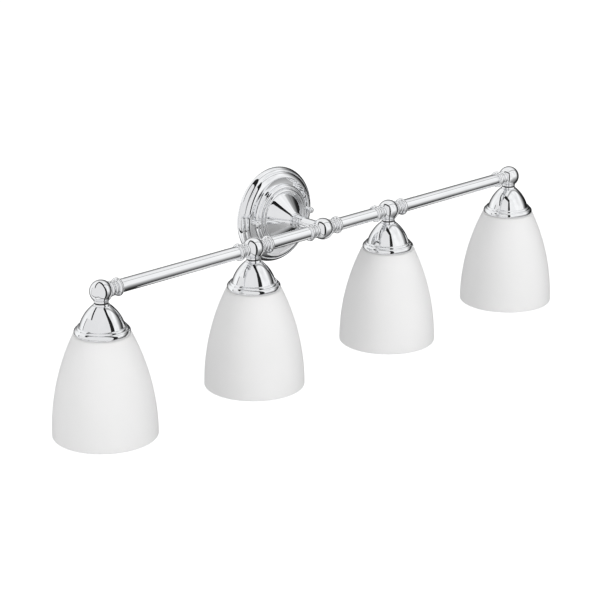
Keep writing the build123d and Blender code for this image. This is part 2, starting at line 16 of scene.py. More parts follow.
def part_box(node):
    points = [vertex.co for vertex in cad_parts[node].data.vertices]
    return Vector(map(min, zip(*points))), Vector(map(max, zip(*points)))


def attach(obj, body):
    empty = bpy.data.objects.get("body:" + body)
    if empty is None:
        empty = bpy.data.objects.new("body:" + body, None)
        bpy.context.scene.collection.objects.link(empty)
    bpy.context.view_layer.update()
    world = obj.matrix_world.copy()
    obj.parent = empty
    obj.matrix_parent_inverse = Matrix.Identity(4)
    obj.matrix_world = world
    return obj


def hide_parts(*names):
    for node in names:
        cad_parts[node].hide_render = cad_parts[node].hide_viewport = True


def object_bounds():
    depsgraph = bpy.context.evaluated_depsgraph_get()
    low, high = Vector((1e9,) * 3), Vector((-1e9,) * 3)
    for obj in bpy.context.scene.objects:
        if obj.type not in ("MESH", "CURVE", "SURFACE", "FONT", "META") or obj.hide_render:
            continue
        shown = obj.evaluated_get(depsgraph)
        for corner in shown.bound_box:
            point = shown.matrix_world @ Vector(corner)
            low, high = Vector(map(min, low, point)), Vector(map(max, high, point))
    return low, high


bl_info = {
    "name": "Vanity light bar",
    "version": (1, 0, 0),
    "blender": (4, 5, 0),
    "location": "3D View > Sidebar > Light bar",
    "description": "Builds the finished surfaces of a four lamp vanity light bar round its frame",
    "category": "Object",
}

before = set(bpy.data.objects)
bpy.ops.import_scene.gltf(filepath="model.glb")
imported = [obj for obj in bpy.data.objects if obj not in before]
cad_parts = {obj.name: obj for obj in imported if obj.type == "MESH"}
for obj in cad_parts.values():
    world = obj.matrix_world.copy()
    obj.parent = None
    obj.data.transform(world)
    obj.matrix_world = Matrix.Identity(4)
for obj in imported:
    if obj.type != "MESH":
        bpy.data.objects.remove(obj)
cad_low, cad_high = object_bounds()

MM = 0.001
LAMPS = (1, 2, 3, 4)
COLLARS = tuple(range(1, 9))
TUBES = (1, 2, 3, 4)
FIXTURE = "fixture"
UP = np.array((0.0, 0.0, 1.0))
OUT_OF_WALL = np.array((0.0, -1.0, 0.0))
ALONG_BAR = np.array((1.0, 0.0, 0.0))
SHARP_ANGLE = math.radians(28)
SAME_PLACE = 1e-7
ON_AXIS = 1e-9
SLIDING_GAP = 0.05 * MM


# ---------------------------------------------------------------- places read from the frame
def span(node):
    """Lowest corner, highest corner and middle of a node as arrays."""
    low, high = (np.array(corner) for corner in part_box(node))
    return low, high, (low + high) / 2


def lamp_place(lamp):
    """Point on a lamp's own axis at the height of the bar."""
    middle = span(f"glass_shade_{lamp}")[2]
    return np.array((middle[0], middle[1], span("center_ball")[2][2]))


def round_radius(node):
    """Radius of a node that is turned about an upright axis."""
    low, high, _ = span(node)
    return (high[0] - low[0]) / 2


ball_radius = float(span("center_ball")[1][2] - span("center_ball")[2][2])
bar_place = np.array((0.0, lamp_place(1)[1], lamp_place(1)[2]))
wall_place = np.array((0.0, 0.0, bar_place[2]))


# ---------------------------------------------------------------- settings
def length(name, millimetres, description):
    """Length setting whose default is given in millimetres."""
    return FloatProperty(
        name=name, description=description, default=millimetres * MM, unit="LENGTH", precision=4
    )


def tint(name, colour, description):
    """Colour setting."""
    return FloatVectorProperty(
        name=name, description=description, default=colour, subtype="COLOR", size=3, min=0.0, max=1.0
    )


def share(name, value, description):
    """Plain factor between 0 and 1."""
    return FloatProperty(
        name=name, description=description, default=value, min=0.0, max=1.0, subtype="FACTOR"
    )


def angle(name, degrees, description):
    """Angle setting whose default is given in degrees."""
    return FloatProperty(
        name=name, description=description, default=math.radians(degrees), subtype="ANGLE"
    )


def number(name, value, description):
    """Plain number setting."""
    return FloatProperty(name=name, description=description, default=value)


def count(name, value, least, description):
    """Whole number setting with a lower limit."""
    return IntProperty(name=name, description=description, default=value, min=least)


class LightBarMeshing(PropertyGroup):
    """How finely the surfaces are divided."""

    turn_steps: count("Turn steps", 144, 24, "Steps round a turned piece")
    wide_steps: count("Wide steps", 216, 24, "Steps round the canopy and shades")
    small_steps: count("Small steps", 96, 24, "Steps round small hardware")
    bend_steps: count("Bend steps", 14, 3, "Points on one arc of a profile")
    thread_rows: count("Thread rows", 8, 4, "Rows to one turn of a fine thread")
    glass_thread_rows: count("Shade thread rows", 14, 4, "Rows to one turn of the shade thread")
    lamp_thread_rows: count("Lamp thread rows", 18, 4, "Rows to one turn of the lamp thread")
    edge_round: length("Edge rounding", 0.25, "Radius that softens a machined edge")


class LightBarCanopySizes(PropertyGroup):
    """Rings of the canopy and bell, from the outside in."""

    wall: length("Wall", 1.2, "Sheet thickness of the canopy")
    rim_lip: length("Rim lip", 0.6, "How far the back edge draws in from the widest line")
    rim_width: length("Rim width", 4.2, "Radial width of the outer rim")
    rim_depth: length("Rim depth", 9.8, "Wall to the front of the rim")
    groove: length("Groove", 0.6, "Depth of the grooves between rings")
    roll_width: length("Roll width", 7.6, "Radial width of the broad roll")
    roll_depth: length("Roll depth", 5.2, "How far the roll rises")
    floor_width: length("Floor width", 7.6, "Radial width of the flat band")
    cove_width: length("Cove width", 1.5, "Radial width of the cove")
    cove_depth: length("Cove depth", 5.8, "How far the cove rises")
    bead_width: length("Bead width", 4.0, "Radial width of the bead round the bell")
    bead_height: length("Bead height", 2.2, "Rise of the bead round the bell")
    bell_gap: length("Bell gap", 0.4, "Between the bell and the canopy's bead")
    bell_bead_width: length("Bell bead width", 5.1, "Radial width of the bell's foot bead")
    bell_bead_height: length("Bell bead height", 2.3, "Rise of the bell's foot bead")
    bell_tip_radius: length("Bell tip radius", 9.6, "Radius of the bell's narrow end")
    bell_wall: length("Bell wall", 1.6, "Sheet thickness of the bell")
    bell_tip_thickness: length("Bell tip thickness", 2.2, "Thickness of the bell's end face")
    nut_base_radius: length("Nut base radius", 3.3, "Foot of a ball-headed cap nut")
    nut_base_thickness: length("Nut base thickness", 1.6, "Foot of a ball-headed cap nut")
    nut_neck_radius: length("Nut neck radius", 2.7, "Neck of a ball-headed cap nut")
    nut_ball_radius: length("Nut ball radius", 3.9, "Ball of a cap nut")
    nut_ball_height: length("Nut ball height", 9.0, "Canopy floor to the middle of the ball")


class LightBarTubeSizes(PropertyGroup):
    """Bar tubes, collars and arm."""

    tube_wall: length("Tube wall", 1.0, "Wall of the bar tubes")
    neck_radius: length("Neck radius", 7.5, "Collar's neck against the ball")
    neck_length: length("Neck length", 5.6, "Collar's neck against the ball")
    neck_bulge: length("Neck bulge", 1.8, "Swell of the collar's neck")
    valley_radius: length("Valley radius", 6.8, "Valleys between the beads")
    small_bead_length: length("Small bead length", 4.1, "Collar's small bead")
    small_bead_height: length("Small bead height", 2.1, "Rise of the small bead")
    large_bead_length: length("Large bead length", 5.8, "Collar's large bead")
    large_bead_height: length("Large bead height", 3.4, "Rise of the large bead")
    spigot_radius: length("Spigot radius", 5.6, "Threaded end that screws into a ball")
    spigot_length: length("Spigot length", 5.0, "Threaded end that screws into a ball")
    bore_radius: length("Bore radius", 4.4, "Way for the leads")
    tail_length: length("Tail length", 8.0, "Collar's tail inside the tube")
    arm_radius: length("Arm radius", 7.2, "Arm tube in view")
    arm_thread_radius: length("Arm thread radius", 6.4, "Threaded rear of the arm")
    fine_pitch: length("Fine pitch", 1.0, "Pitch of the arm's and nipple's threads")


class LightBarCapSizes(PropertyGroup):
    """Domed cap and neck ring of a lamp."""

    wall: length("Wall", 1.3, "Sheet thickness of the cap")
    top_radius: length("Top radius", 10.2, "Flat top of the cap")
    dome_bulge: length("Dome bulge", 2.3, "How far the dome stands out from a cone")
    ledge_width: length("Ledge width", 1.2, "Flat ledge at the dome's foot")
    small_bead_width: length("Small bead width", 1.8, "Bead above the flange")
    small_bead_height: length("Small bead height", 2.4, "Bead above the flange")
    flange_height: length("Flange height", 6.8, "Height of the flange's roll")
    seat_drop: length("Seat drop", 3.5, "Dome's foot to the glass seat")
    hole_radius: length("Hole radius", 4.9, "Hole for the nipple")
    neck_chamfer: length("Neck chamfer", 0.5, "Chamfer at the neck ring's foot")
    neck_flare: length("Neck flare", 0.9, "Neck ring's foot wider than its lip")
    lip_height: length("Lip height", 2.0, "Neck ring above its groove")
    groove_height: length("Groove height", 1.6, "Groove round the neck ring")
    groove_depth: length("Groove depth", 2.2, "Groove round the neck ring")
    inner_radius: length("Inner radius", 30.2, "Inside of the flange")


class LightBarShadeSizes(PropertyGroup):
    """Glass shade and what holds it."""

    glass_wall: length("Glass wall", 3.0, "Thickness of the glass")
    plate_thickness: length("Plate thickness", 3.5, "Thickness of the glass at the top")
    hole_radius: length("Hole radius", 20.8, "Hole for the lampholder")
    neck_radius: length("Neck radius", 29.5, "Outside of the neck inside the flange")
    shoulder_step: length("Shoulder step", 1.6, "Shoulder beyond the flange")
    shoulder_gap: length("Shoulder gap", 0.4, "Shoulder below the flange")
    neck_round: length("Neck rounding", 1.4, "Fire-polished edges of the neck")
    ring_bore: length("Ring bore", 19.8, "Bore of the retaining ring")
    ring_pitch: length("Ring pitch", 2.5, "Pitch of the shade thread")
    ring_notch_radius: length("Notch radius", 2.2, "Finger notches of the retaining ring")
    ring_notches: count("Notches", 8, 3, "Finger notches round the ring")
    thread_depth: length("Thread depth", 0.45, "Depth of the shade thread")


class LightBarHolderSizes(PropertyGroup):
    """Lampholder and its contacts."""

    mouth_radius: length("Mouth radius", 17.8, "Outside of the mouth below the thread")
    mouth_length: length("Mouth length", 11.5, "Mouth below the thread")
    bore_radius: length("Bore radius", 13.8, "Bore that holds the screw shell")
    top_radius: length("Top radius", 12.5, "Narrow upper part")
    top_height: length("Top height", 13.0, "Narrow upper part")
    shoulder_height: length("Shoulder height", 3.5, "Slope from the upper part to the thread")
    floor_thickness: length("Floor thickness", 4.5, "Porcelain above the contact")
    chamber_radius: length("Chamber radius", 8.5, "Chamber above the floor")
    chamber_top_drop: length("Chamber top drop", 7.0, "Holder top to the chamber")
    hole_radius: length("Hole radius", 4.91, "Hole for the nipple")
    shell_wall: length("Shell wall", 0.5, "Sheet thickness of the screw shell")
    shell_pitch: length("Shell pitch", 3.63, "Pitch of the lamp thread")
    shell_depth: length("Shell thread depth", 0.42, "How deep the lamp thread is rolled")
    rivet_radius: length("Rivet radius", 2.4, "Middle rivet of the contact")
    rivet_height: length("Rivet height", 1.0, "Middle rivet of the contact")
    screw_head_radius: length("Screw head radius", 2.6, "Terminal screw heads")
    screw_head_height: length("Screw head height", 1.8, "Terminal screw heads")
    screw_slot: length("Screw slot", 0.7, "Width of the screwdriver slot")


class LightBarFinishes(PropertyGroup):
    """Colours and gloss of the finishes."""

    chrome: tint("Chrome", (0.93, 0.935, 0.945), "Colour that the plating reflects")
    chrome_shade: tint("Chrome shade", (0.83, 0.84, 0.86), "Plating where it is a touch dull")
    glass: tint("Glass", (0.93, 0.925, 0.925), "Etched white glass")
    glass_shade: tint("Glass shade", (0.90, 0.90, 0.895), "Etched glass where it is a touch denser")
    glow: tint("Glow", (0.97, 0.965, 0.965), "Light that comes through the glass")
    see_through: share("See through", 0.36, "Share of the glass that passes light")
    steel: tint("Zinc plate", (0.60, 0.61, 0.60), "Zinc plated steel")
    brass: tint("Brass", (0.80, 0.60, 0.28), "Brass nipples and arm thread")
    nickel: tint("Nickel", (0.74, 0.70, 0.62), "Nickel plated screw shell")
    porcelain: tint("Porcelain", (0.84, 0.83, 0.79), "Glazed lampholder")
    phenolic: tint("Ring plastic", (0.82, 0.80, 0.74), "Moulded retaining ring")
    green: tint("Earth green", (0.03, 0.26, 0.10), "Dyed earthing screw")
    lead: tint("Lead", (0.80, 0.79, 0.75), "Braided sleeve of the leads")


class LightBarStudio(PropertyGroup):
    """Camera, floor, soft lights and reflector."""

    azimuth: angle("Azimuth", 43.71, "Turn of the camera to the bar's left")
    elevation: angle("Elevation", 18.957, "Camera's height above the horizon")
    distance: length("Distance", 2604.5, "Camera to the middle of the picture")
    aim_right: length("Aim right", -28.57, "Picture's middle beside the centre ball")
    aim_up: length("Aim up", -88.96, "Picture's middle above the centre ball")
    lens: number("Lens", 125.31, "Focal length in millimetres")
    floor_drop: length("Floor drop", 1500.0, "Shade rims to the floor")
    floor_size: length("Floor size", 60000.0, "Half width of the floor")
    floor_glow: number("Floor glow", 0.32, "Brightness that the floor adds by itself")
    brightness: number("Brightness", 1.12, "Strength of the white surround")
    left_light: number("Left light", 8.0, "Power of the left soft light in watts")
    right_light: number("Right light", 38.0, "Power of the right soft light in watts")
    light_rise: number("Light rise", 0.25, "Height of the soft lights for each unit outward")
    light_size: length("Light size", 2200.0, "Diameter of each soft light")
    light_distance: length("Light distance", 3000.0, "Soft lights to the bar")
    tent_left: length("Tent left", 1500.0, "Left wall of the reflector")
    tent_right: length("Tent right", 303.0, "Right edge of the reflector, left of the middle")
    tent_front: length("Tent front", 692.0, "Front wall of the reflector")
    tent_rear: length("Tent rear", 272.0, "Rear edge of the reflector's roof")
    tent_side: length("Tent side", 1500.0, "Rear edge of the left wall")
    tent_low: length("Tent low", 875.0, "Lower edge of the reflector")
    tent_top: length("Tent top", 800.0, "Roof of the reflector")
    tent_strip: length("Tent strip", 220.0, "Width of the black edge")
    tent_glow: number("Tent glow", 0.84, "Brightness of the reflector")


class LightBarSettings(PropertyGroup):
    """All settings of the light bar."""

    meshing: PointerProperty(type=LightBarMeshing)
    canopy: PointerProperty(type=LightBarCanopySizes)
    tubes: PointerProperty(type=LightBarTubeSizes)
    cap: PointerProperty(type=LightBarCapSizes)
    shade: PointerProperty(type=LightBarShadeSizes)
    holder: PointerProperty(type=LightBarHolderSizes)
    finishes: PointerProperty(type=LightBarFinishes)
    studio: PointerProperty(type=LightBarStudio)


# ---------------------------------------------------------------- profiles
def line(start, end, steps=1):
    """Evenly spaced points of a straight run."""
    share_along = np.linspace(0, 1, steps + 1)[:, None]
    return np.array(start) * (1 - share_along) + np.array(end) * share_along


def bulge(start, end, rise, steps):
    """Arc that stands out by rise to the left of the way from start to end.

    With half chord c and rise s the radius is (c*c + s*s) / 2s and half the arc's angle is 2*atan(s/c).
    """
    start, end = np.array(start), np.array(end)
    chord = end - start
    half = np.linalg.norm(chord) / 2
    ahead = chord / (2 * half)
    left = np.array((-ahead[1], ahead[0]))
    radius = (half**2 + rise**2) / (2 * rise)
    angle = 2 * math.atan(rise / half) * np.linspace(-1, 1, steps + 1)[:, None]
    aside = radius * np.cos(angle) - (radius - rise)
    return (start + end) / 2 + ahead * radius * np.sin(angle) + left * aside


def arc_through(start, middle, end, steps):
    """Arc through three points: the circle's centre is equally far from all three."""
    start, middle, end = (np.array(point) for point in (start, middle, end))
    rows = 2 * np.array((middle - start, end - start))
    centre = np.linalg.solve(rows, np.array((middle @ middle - start @ start, end @ end - start @ start)))
    first, through, last = (math.atan2(*(point - centre)[::-1]) for point in (start, middle, end))
    whole = 2 * math.pi
    turn = (last - first) % whole
    if (through - first) % whole > turn:
        turn -= whole
    angle = first + turn * np.linspace(0, 1, steps + 1)
    return centre + np.linalg.norm(start - centre) * np.stack((np.cos(angle), np.sin(angle)), 1)


def path_of(*runs):
    """Runs and single points one after another, without repeated points."""
    points = np.vstack([np.atleast_2d(np.array(run, float)) for run in runs])
    step = np.linalg.norm(np.diff(points, axis=0), axis=1)
    return points[np.concatenate(([True], step > SAME_PLACE))]


def rounded(points, radius, closed=True, steps=4, least_turn=math.radians(25)):
    """Round every real corner of a profile by a quadratic curve that touches both of its sides.

    The curve takes at most side_share of the shorter side, and a near hairpin counts as most_turn.
    """
    side_share, most_turn = 0.4, 2.6
    before, after = np.roll(points, 1, 0) - points, np.roll(points, -1, 0) - points
    length_before = np.linalg.norm(before, axis=1)[:, None]
    length_after = np.linalg.norm(after, axis=1)[:, None]
    before, after = before / length_before, after / length_after
    turn = math.pi - np.arccos(np.clip((before * after).sum(1), -1, 1))
    room = side_share * np.minimum(length_before, length_after)[:, 0]
    reach = np.minimum(radius * np.tan(np.minimum(turn, most_turn) / 2), room)
    t = np.linspace(0, 1, steps + 1)[:, None]
    result = []
    for i, corner in enumerate(points):
        end_point = not closed and i in (0, len(points) - 1)
        if turn[i] < least_turn or end_point:
            result.append(corner[None])
            continue
        arrive, leave = corner + before[i] * reach[i], corner + after[i] * reach[i]
        result.append((1 - t) ** 2 * arrive + 2 * t * (1 - t) * corner + t**2 * leave)
    return path_of(*result)


# ---------------------------------------------------------------- surfaces
def side_of(axis):
    """Two directions that complete an axis to a right-handed set."""
    helper = ALONG_BAR if abs(axis[0]) < 0.5 else UP
    across = np.cross(helper, axis)
    across /= np.linalg.norm(across)
    return across, np.cross(axis, across)


def turned_grid(profile, place, axis, steps, swell=None):
    """Grid of a profile carried round an axis.

    point = place + axis*along + radius*(across*cos(turn) + over*sin(turn)); swell may change the radius
    by turn and by distance along.
    """
    across, over = side_of(axis)
    turn = np.linspace(0, 2 * math.pi, steps, endpoint=False)[None, :]
    radius = np.repeat(profile[:, :1], steps, 1)
    along = np.repeat(profile[:, 1:], steps, 1)
    if swell is not None:
        radius = np.where(radius > 0, swell(turn, radius, along), radius)
    spread = across * np.cos(turn)[..., None] + over * np.sin(turn)[..., None]
    return place + axis * along[..., None] + radius[..., None] * spread


def grid_faces(rows, steps, closed, first=0):
    """Quads of a grid whose columns close on themselves, and whose rows do too when closed."""
    row = np.arange(rows if closed else rows - 1)[:, None]
    column = np.arange(steps)[None, :]
    next_row, next_column = (row + 1) % rows, (column + 1) % steps
    corners = (row * steps + column, row * steps + next_column, next_row * steps + next_column,
               next_row * steps + column)
    return np.stack(np.broadcast_arrays(*corners), -1).reshape(-1, 4) + first


def turned(profile, place, axis, steps, swell=None):
    """Points, quads and triangles of a closed turned solid.

    A profile that starts and ends on the axis is closed by two poles, any other by its own loop.
    """
    poles = profile[0, 0] < ON_AXIS and profile[-1, 0] < ON_AXIS
    if not poles:
        grid = turned_grid(profile, place, axis, steps, swell)
        return grid.reshape(-1, 3), grid_faces(len(grid), steps, True), np.empty((0, 3), int)
    grid = turned_grid(profile[1:-1], place, axis, steps, swell)
    ends = place + axis * profile[[0, -1], 1:]
    points = np.vstack((grid.reshape(-1, 3), ends))
    column = np.arange(steps)
    following = (column + 1) % steps
    last_row = (len(grid) - 1) * steps
    first_pole = np.stack((np.full(steps, len(points) - 2), following, column), 1)
    last_pole = np.stack((np.full(steps, len(points) - 1), last_row + column, last_row + following), 1)
    return points, grid_faces(len(grid), steps, False), np.vstack((first_pole, last_pole))


def facing_out(points, quads, triangles):
    """Turn all faces round if the closed surface holds a negative volume."""
    corners = np.vstack((quads[:, [0, 1, 2]], quads[:, [0, 2, 3]], triangles))
    a, b, c = (points[corners[:, i]] for i in range(3))
    if (np.cross(a, b) * c).sum() < 0:
        return quads[:, ::-1], triangles[:, ::-1]
    return quads, triangles


def joined(*parts):
    """Several solids as one set of points, quads and triangles."""
    points, quads, triangles = [], [], []
    start = 0
    for part_points, part_quads, part_triangles in parts:
        part_quads, part_triangles = facing_out(part_points, part_quads, part_triangles)
        points.append(part_points)
        quads.append(part_quads + start)
        triangles.append(part_triangles + start)
        start += len(part_points)
    return np.vstack(points), np.vstack(quads), np.vstack(triangles)


def piece(name, solid, finish, slot, body, *nodes):
    """Make a finished piece from its solid, smooth but for its real edges, and let it stand for CAD nodes."""
    points, quads, triangles = solid
    quads, triangles = facing_out(points, quads, triangles)
    mesh = bpy.data.meshes.new(name)
    mesh.vertices.add(len(points))
    mesh.vertices.foreach_set("co", points.astype(np.float32).ravel())
    mesh.loops.add(quads.size + triangles.size)
    corners = np.concatenate((quads.ravel(), triangles.ravel()))
    mesh.loops.foreach_set("vertex_index", corners.astype(np.int32))
    mesh.polygons.add(len(quads) + len(triangles))
    starts = np.concatenate((np.arange(len(quads)) * 4, quads.size + np.arange(len(triangles)) * 3))
    mesh.polygons.foreach_set("loop_start", starts.astype(np.int32))
    mesh.update(calc_edges=True)
    if mesh.validate():
        raise RuntimeError(f"the surface of {name} is not a clean mesh")
    mesh.shade_smooth()
    mesh.set_sharp_from_angle(angle=SHARP_ANGLE)
    mesh.materials.append(finish)
    result = bpy.data.objects.new(name, mesh)
    bpy.context.scene.collection.objects.link(result)
    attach(result, body)
    if nodes:
        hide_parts(*nodes)
    return result


def helix(pitch, depth, low, high, fade):
    """Swell of a rounded thread: a wave in along/pitch - turn that fades out at both ends."""
    def swell(turn, radius, along):
        inside = np.clip((along - low) / fade, 0, 1) * np.clip((high - along) / fade, 0, 1)
        return radius - depth * inside * (0.5 - 0.5 * np.cos(2 * math.pi * along / pitch - turn))
    return swell


def only_beyond(least_radius, thread):
    """Swell that threads the outside only: what lies nearer the axis stays plain."""
    def swell(turn, radius, along):
        return np.where(radius > least_radius, thread(turn, radius, along), radius)
    return swell


def hexagon(across_flats):
    """Swell that cuts a round blank to six flats: a ray meets a flat at half the size over the cosine."""
    def swell(turn, radius, along):
        to_flat = np.mod(turn + math.pi / 6, math.pi / 3) - math.pi / 6
        return np.minimum(radius, across_flats / 2 / np.cos(to_flat))
    return swell


def hex_nut(place, axis, across_flats, bore, thickness, steps):
    """Solid of a chamfered hexagon nut whose near face is at place."""
    corner = across_flats / math.sqrt(3)
    chamfer, rows = (corner - across_flats / 2) * 0.55, 8
    face, blank, bore_edge = across_flats / 2 * 0.98, corner * 1.01, 0.3 * MM
    profile = path_of(
        (bore, 0.0),
        line((face, 0.0), (blank, chamfer), rows),
        line((blank, thickness - chamfer), (face, thickness), rows),
        (bore + bore_edge, thickness),
        (bore, thickness - bore_edge),
        (bore, bore_edge),
    )
    return turned(profile, place, axis, steps, hexagon(across_flats))


# ---------------------------------------------------------------- shader arithmetic
class Signal:
    """A shader socket that takes part in Python arithmetic; each operator adds its Math node."""

    def __init__(self, tree, socket):
        self.tree = tree
        self.socket = socket

    def math(self, operation, *values, clamp=False):
        """Math node of this value and the others."""
        node = self.tree.nodes.new("ShaderNodeMath")
        node.operation = operation
        node.use_clamp = clamp
        for entry, value in zip(node.inputs, values):
            if isinstance(value, Signal):
                self.tree.links.new(value.socket, entry)
            else:
                entry.default_value = value
        return Signal(self.tree, node.outputs[0])

    def __add__(self, other):
        return self.math("ADD", self, other)

    def __radd__(self, other):
        return self.math("ADD", other, self)

    def __sub__(self, other):
        return self.math("SUBTRACT", self, other)

    def __rsub__(self, other):
        return self.math("SUBTRACT", other, self)

    def __mul__(self, other):
        return self.math("MULTIPLY", self, other)

    def __rmul__(self, other):
        return self.math("MULTIPLY", other, self)

    def __truediv__(self, other):
        return self.math("DIVIDE", self, other)

    def __abs__(self):
        return self.math("ABSOLUTE", self)

    def above(self, level, soft):
        """0 below the level, 1 above it, with a ramp of width soft between."""
        return self.math("DIVIDE", self - (level - soft / 2), soft, clamp=True)


class Recipe:
    """A node tree being written: node() adds any node, and the helpers below are built on it."""

    def __init__(self, tree):
        self.tree = tree
        tree.nodes.clear()

    def node(self, kind, settings=None, sockets=None, output=0):
        """Add a node of a type, set its settings and then its sockets, and return one output as a signal."""
        node = self.tree.nodes.new(kind)
        for setting, value in (settings or {}).items():
            if setting == "stops":
                self.set_stops(node.color_ramp, value)
            else:
                setattr(node, setting, value)
        for socket, value in (sockets or {}).items():
            if isinstance(value, Signal):
                self.tree.links.new(value.socket, node.inputs[socket])
            else:
                node.inputs[socket].default_value = value
        return Signal(self.tree, node.outputs[output]) if node.outputs else node

    @staticmethod
    def set_stops(ramp, stops):
        """Give a colour ramp its stops as (position, colour)."""
        while len(ramp.elements) < len(stops):
            ramp.elements.new(0.5)
        for element, (position, colour) in zip(ramp.elements, stops):
            element.position = position
            element.color = (*colour, 1.0)

    def place(self):
        """Object coordinates."""
        return self.node("ShaderNodeTexCoord", output="Object")

    def noise(self, scale, detail=3.0, roughness=0.5, stretch=(1, 1, 1)):
        """Noise with its features about 1/scale metres across, drawn out along an axis by stretch."""
        place = self.node("ShaderNodeMapping", None, {"Vector": self.place(), "Scale": stretch})
        settings = {"Vector": place, "Scale": scale, "Detail": detail, "Roughness": roughness}
        return self.node("ShaderNodeTexNoise", None, settings)

    def mix(self, factor, first, second):
        """Colour between first and second."""
        node = self.tree.nodes.new("ShaderNodeMix")
        node.data_type = "RGBA"
        for entry, value in ((node.inputs[0], factor), (node.inputs[6], first), (node.inputs[7], second)):
            if isinstance(value, Signal):
                self.tree.links.new(value.socket, entry)
            else:
                entry.default_value = value if entry.name == "Factor" else (*value, 1.0)
        return Signal(self.tree, node.outputs[2])

    def bump(self, height, strength, distance):
        """Normal from a height."""
        sockets = {"Height": height, "Strength": strength, "Distance": distance}
        return self.node("ShaderNodeBump", None, sockets)

    def principled(self, **sockets):
        """Principled shader; underscores in a name stand for spaces."""
        named = {name.replace("_", " "): value for name, value in sockets.items()}
        return self.node("ShaderNodeBsdfPrincipled", None, named)

    def finish(self, shader):
        """Lead a shader to the surface."""
        self.node("ShaderNodeOutputMaterial", None, {"Surface": shader})


def new_material(name):
    """Empty material and its recipe."""
    material = bpy.data.materials.new(name)
    material.use_nodes = True
    return material, Recipe(material.node_tree)


# ---------------------------------------------------------------- finishes
def polished_chrome(finishes, groove=None):
    """Mirror plating: very slight ripple, faint wiped patches and a few dull specks.

    The band of heights given as groove is painted near black and made rougher: painted shade for the dark
    inside a deep groove.
    """
    material, recipe = new_material("chrome_with_painted_groove_shade" if groove else "polished_chrome")
    patches = recipe.noise(38.0, 4.0, 0.55)
    wiped = recipe.noise(150.0, 2.0, 0.5, (1.0, 1.0, 3.0)).above(0.62, 0.25)
    ripple = recipe.noise(210.0, 2.0, 0.4)
    colour = recipe.mix(patches.above(0.55, 0.5) * 0.5, finishes.chrome, finishes.chrome_shade)
    roughness = 0.012 + patches.above(0.5, 0.6) * 0.02 + wiped * 0.02
    if groove:
        low, high = groove
        height = recipe.node("ShaderNodeSeparateXYZ", None, {"Vector": recipe.place()}, output="Z")
        # painted shade: the groove's band of heights is mixed toward near black
        inside = height.above(low, 0.1 * MM) * (1 - height.above(high, 0.1 * MM))
        colour = recipe.mix(inside, colour, (0.03, 0.03, 0.03))
        roughness = roughness + inside * 0.5
    normal = recipe.bump(ripple, 0.014, 0.0004)
    recipe.finish(recipe.principled(Base_Color=colour, Metallic=1.0, Roughness=roughness, Normal=normal))
    return material


def frosted_glass(finishes):
    """Acid-etched white glass: a fine even grain that scatters light, part of it passing through the wall."""
    material, recipe = new_material("frosted_glass")
    cloud = recipe.noise(26.0, 3.0, 0.5)
    grain = recipe.noise(2400.0, 2.0, 0.6)
    etch = recipe.noise(420.0, 3.0, 0.6)
    colour = recipe.mix(cloud.above(0.5, 0.7), finishes.glass, finishes.glass_shade)
    normal = recipe.bump(grain * 0.6 + etch * 0.4, 0.12, 0.0003)
    body = recipe.principled(
        Base_Color=colour, Roughness=0.42 + etch.above(0.5, 0.6) * 0.14, Normal=normal, IOR=1.5
    )
    glow = recipe.node("ShaderNodeBsdfTranslucent", None, {"Color": (*finishes.glow, 1.0), "Normal": normal})
    mixed = recipe.node("ShaderNodeMixShader", None, {0: finishes.see_through, 1: body, 2: glow})
    recipe.finish(mixed)
    return material


def zinc_plated_steel(finishes):
    """Zinc plate: cloudy crystals, a faint yellow and blue cast and a low sheen."""
    material, recipe = new_material("zinc_plated_steel")
    cloud = recipe.noise(55.0, 4.0, 0.6)
    fine = recipe.noise(700.0, 2.0, 0.6, (1.0, 1.0, 0.15))
    cast = recipe.mix(cloud.above(0.5, 0.3), (0.66, 0.66, 0.60), (0.56, 0.60, 0.64))
    colour = recipe.mix(0.5, finishes.steel, cast)
    roughness = 0.26 + cloud.above(0.5, 0.6) * 0.14 + fine * 0.06
    normal = recipe.bump(fine, 0.08, 0.0002)
    recipe.finish(recipe.principled(Base_Color=colour, Metallic=1.0, Roughness=roughness, Normal=normal))
    return material


def brass(finishes):
    """Bare brass with light tarnish."""
    material, recipe = new_material("brass")
    tarnish = recipe.noise(120.0, 4.0, 0.6).above(0.56, 0.3)
    fine = recipe.noise(900.0, 2.0, 0.5)
    colour = recipe.mix(tarnish * 0.7, finishes.brass, (0.46, 0.31, 0.12))
    normal = recipe.bump(fine, 0.06, 0.0002)
    recipe.finish(
        recipe.principled(Base_Color=colour, Metallic=1.0, Roughness=0.2 + tarnish * 0.2, Normal=normal)
    )
    return material


def nickel_shell(finishes):
    """Nickel plate on rolled sheet: soft sheen, drawn lines round the shell."""
    material, recipe = new_material("nickel_shell")
    drawn = recipe.noise(300.0, 3.0, 0.6, (0.2, 0.2, 6.0))
    cloud = recipe.noise(90.0, 3.0, 0.5)
    colour = recipe.mix(cloud.above(0.5, 0.5), finishes.nickel, (0.62, 0.57, 0.48))
    normal = recipe.bump(drawn, 0.05, 0.0002)
    recipe.finish(
        recipe.principled(Base_Color=colour, Metallic=1.0, Roughness=0.18 + drawn * 0.16, Normal=normal)
    )
    return material


def porcelain(finishes):
    """Glazed porcelain: off-white body, soft glaze waves and a few iron specks."""
    material, recipe = new_material("porcelain")
    wave = recipe.noise(140.0, 2.0, 0.5)
    specks = recipe.noise(1500.0, 1.0, 0.5).above(0.76, 0.05)
    colour = recipe.mix(specks * 0.6, finishes.porcelain, (0.42, 0.36, 0.28))
    normal = recipe.bump(wave, 0.08, 0.0004)
    recipe.finish(
        recipe.principled(
            Base_Color=colour, Roughness=0.16 + wave * 0.12, Normal=normal,
            Coat_Weight=0.5, Coat_Roughness=0.08
        )
    )
    return material


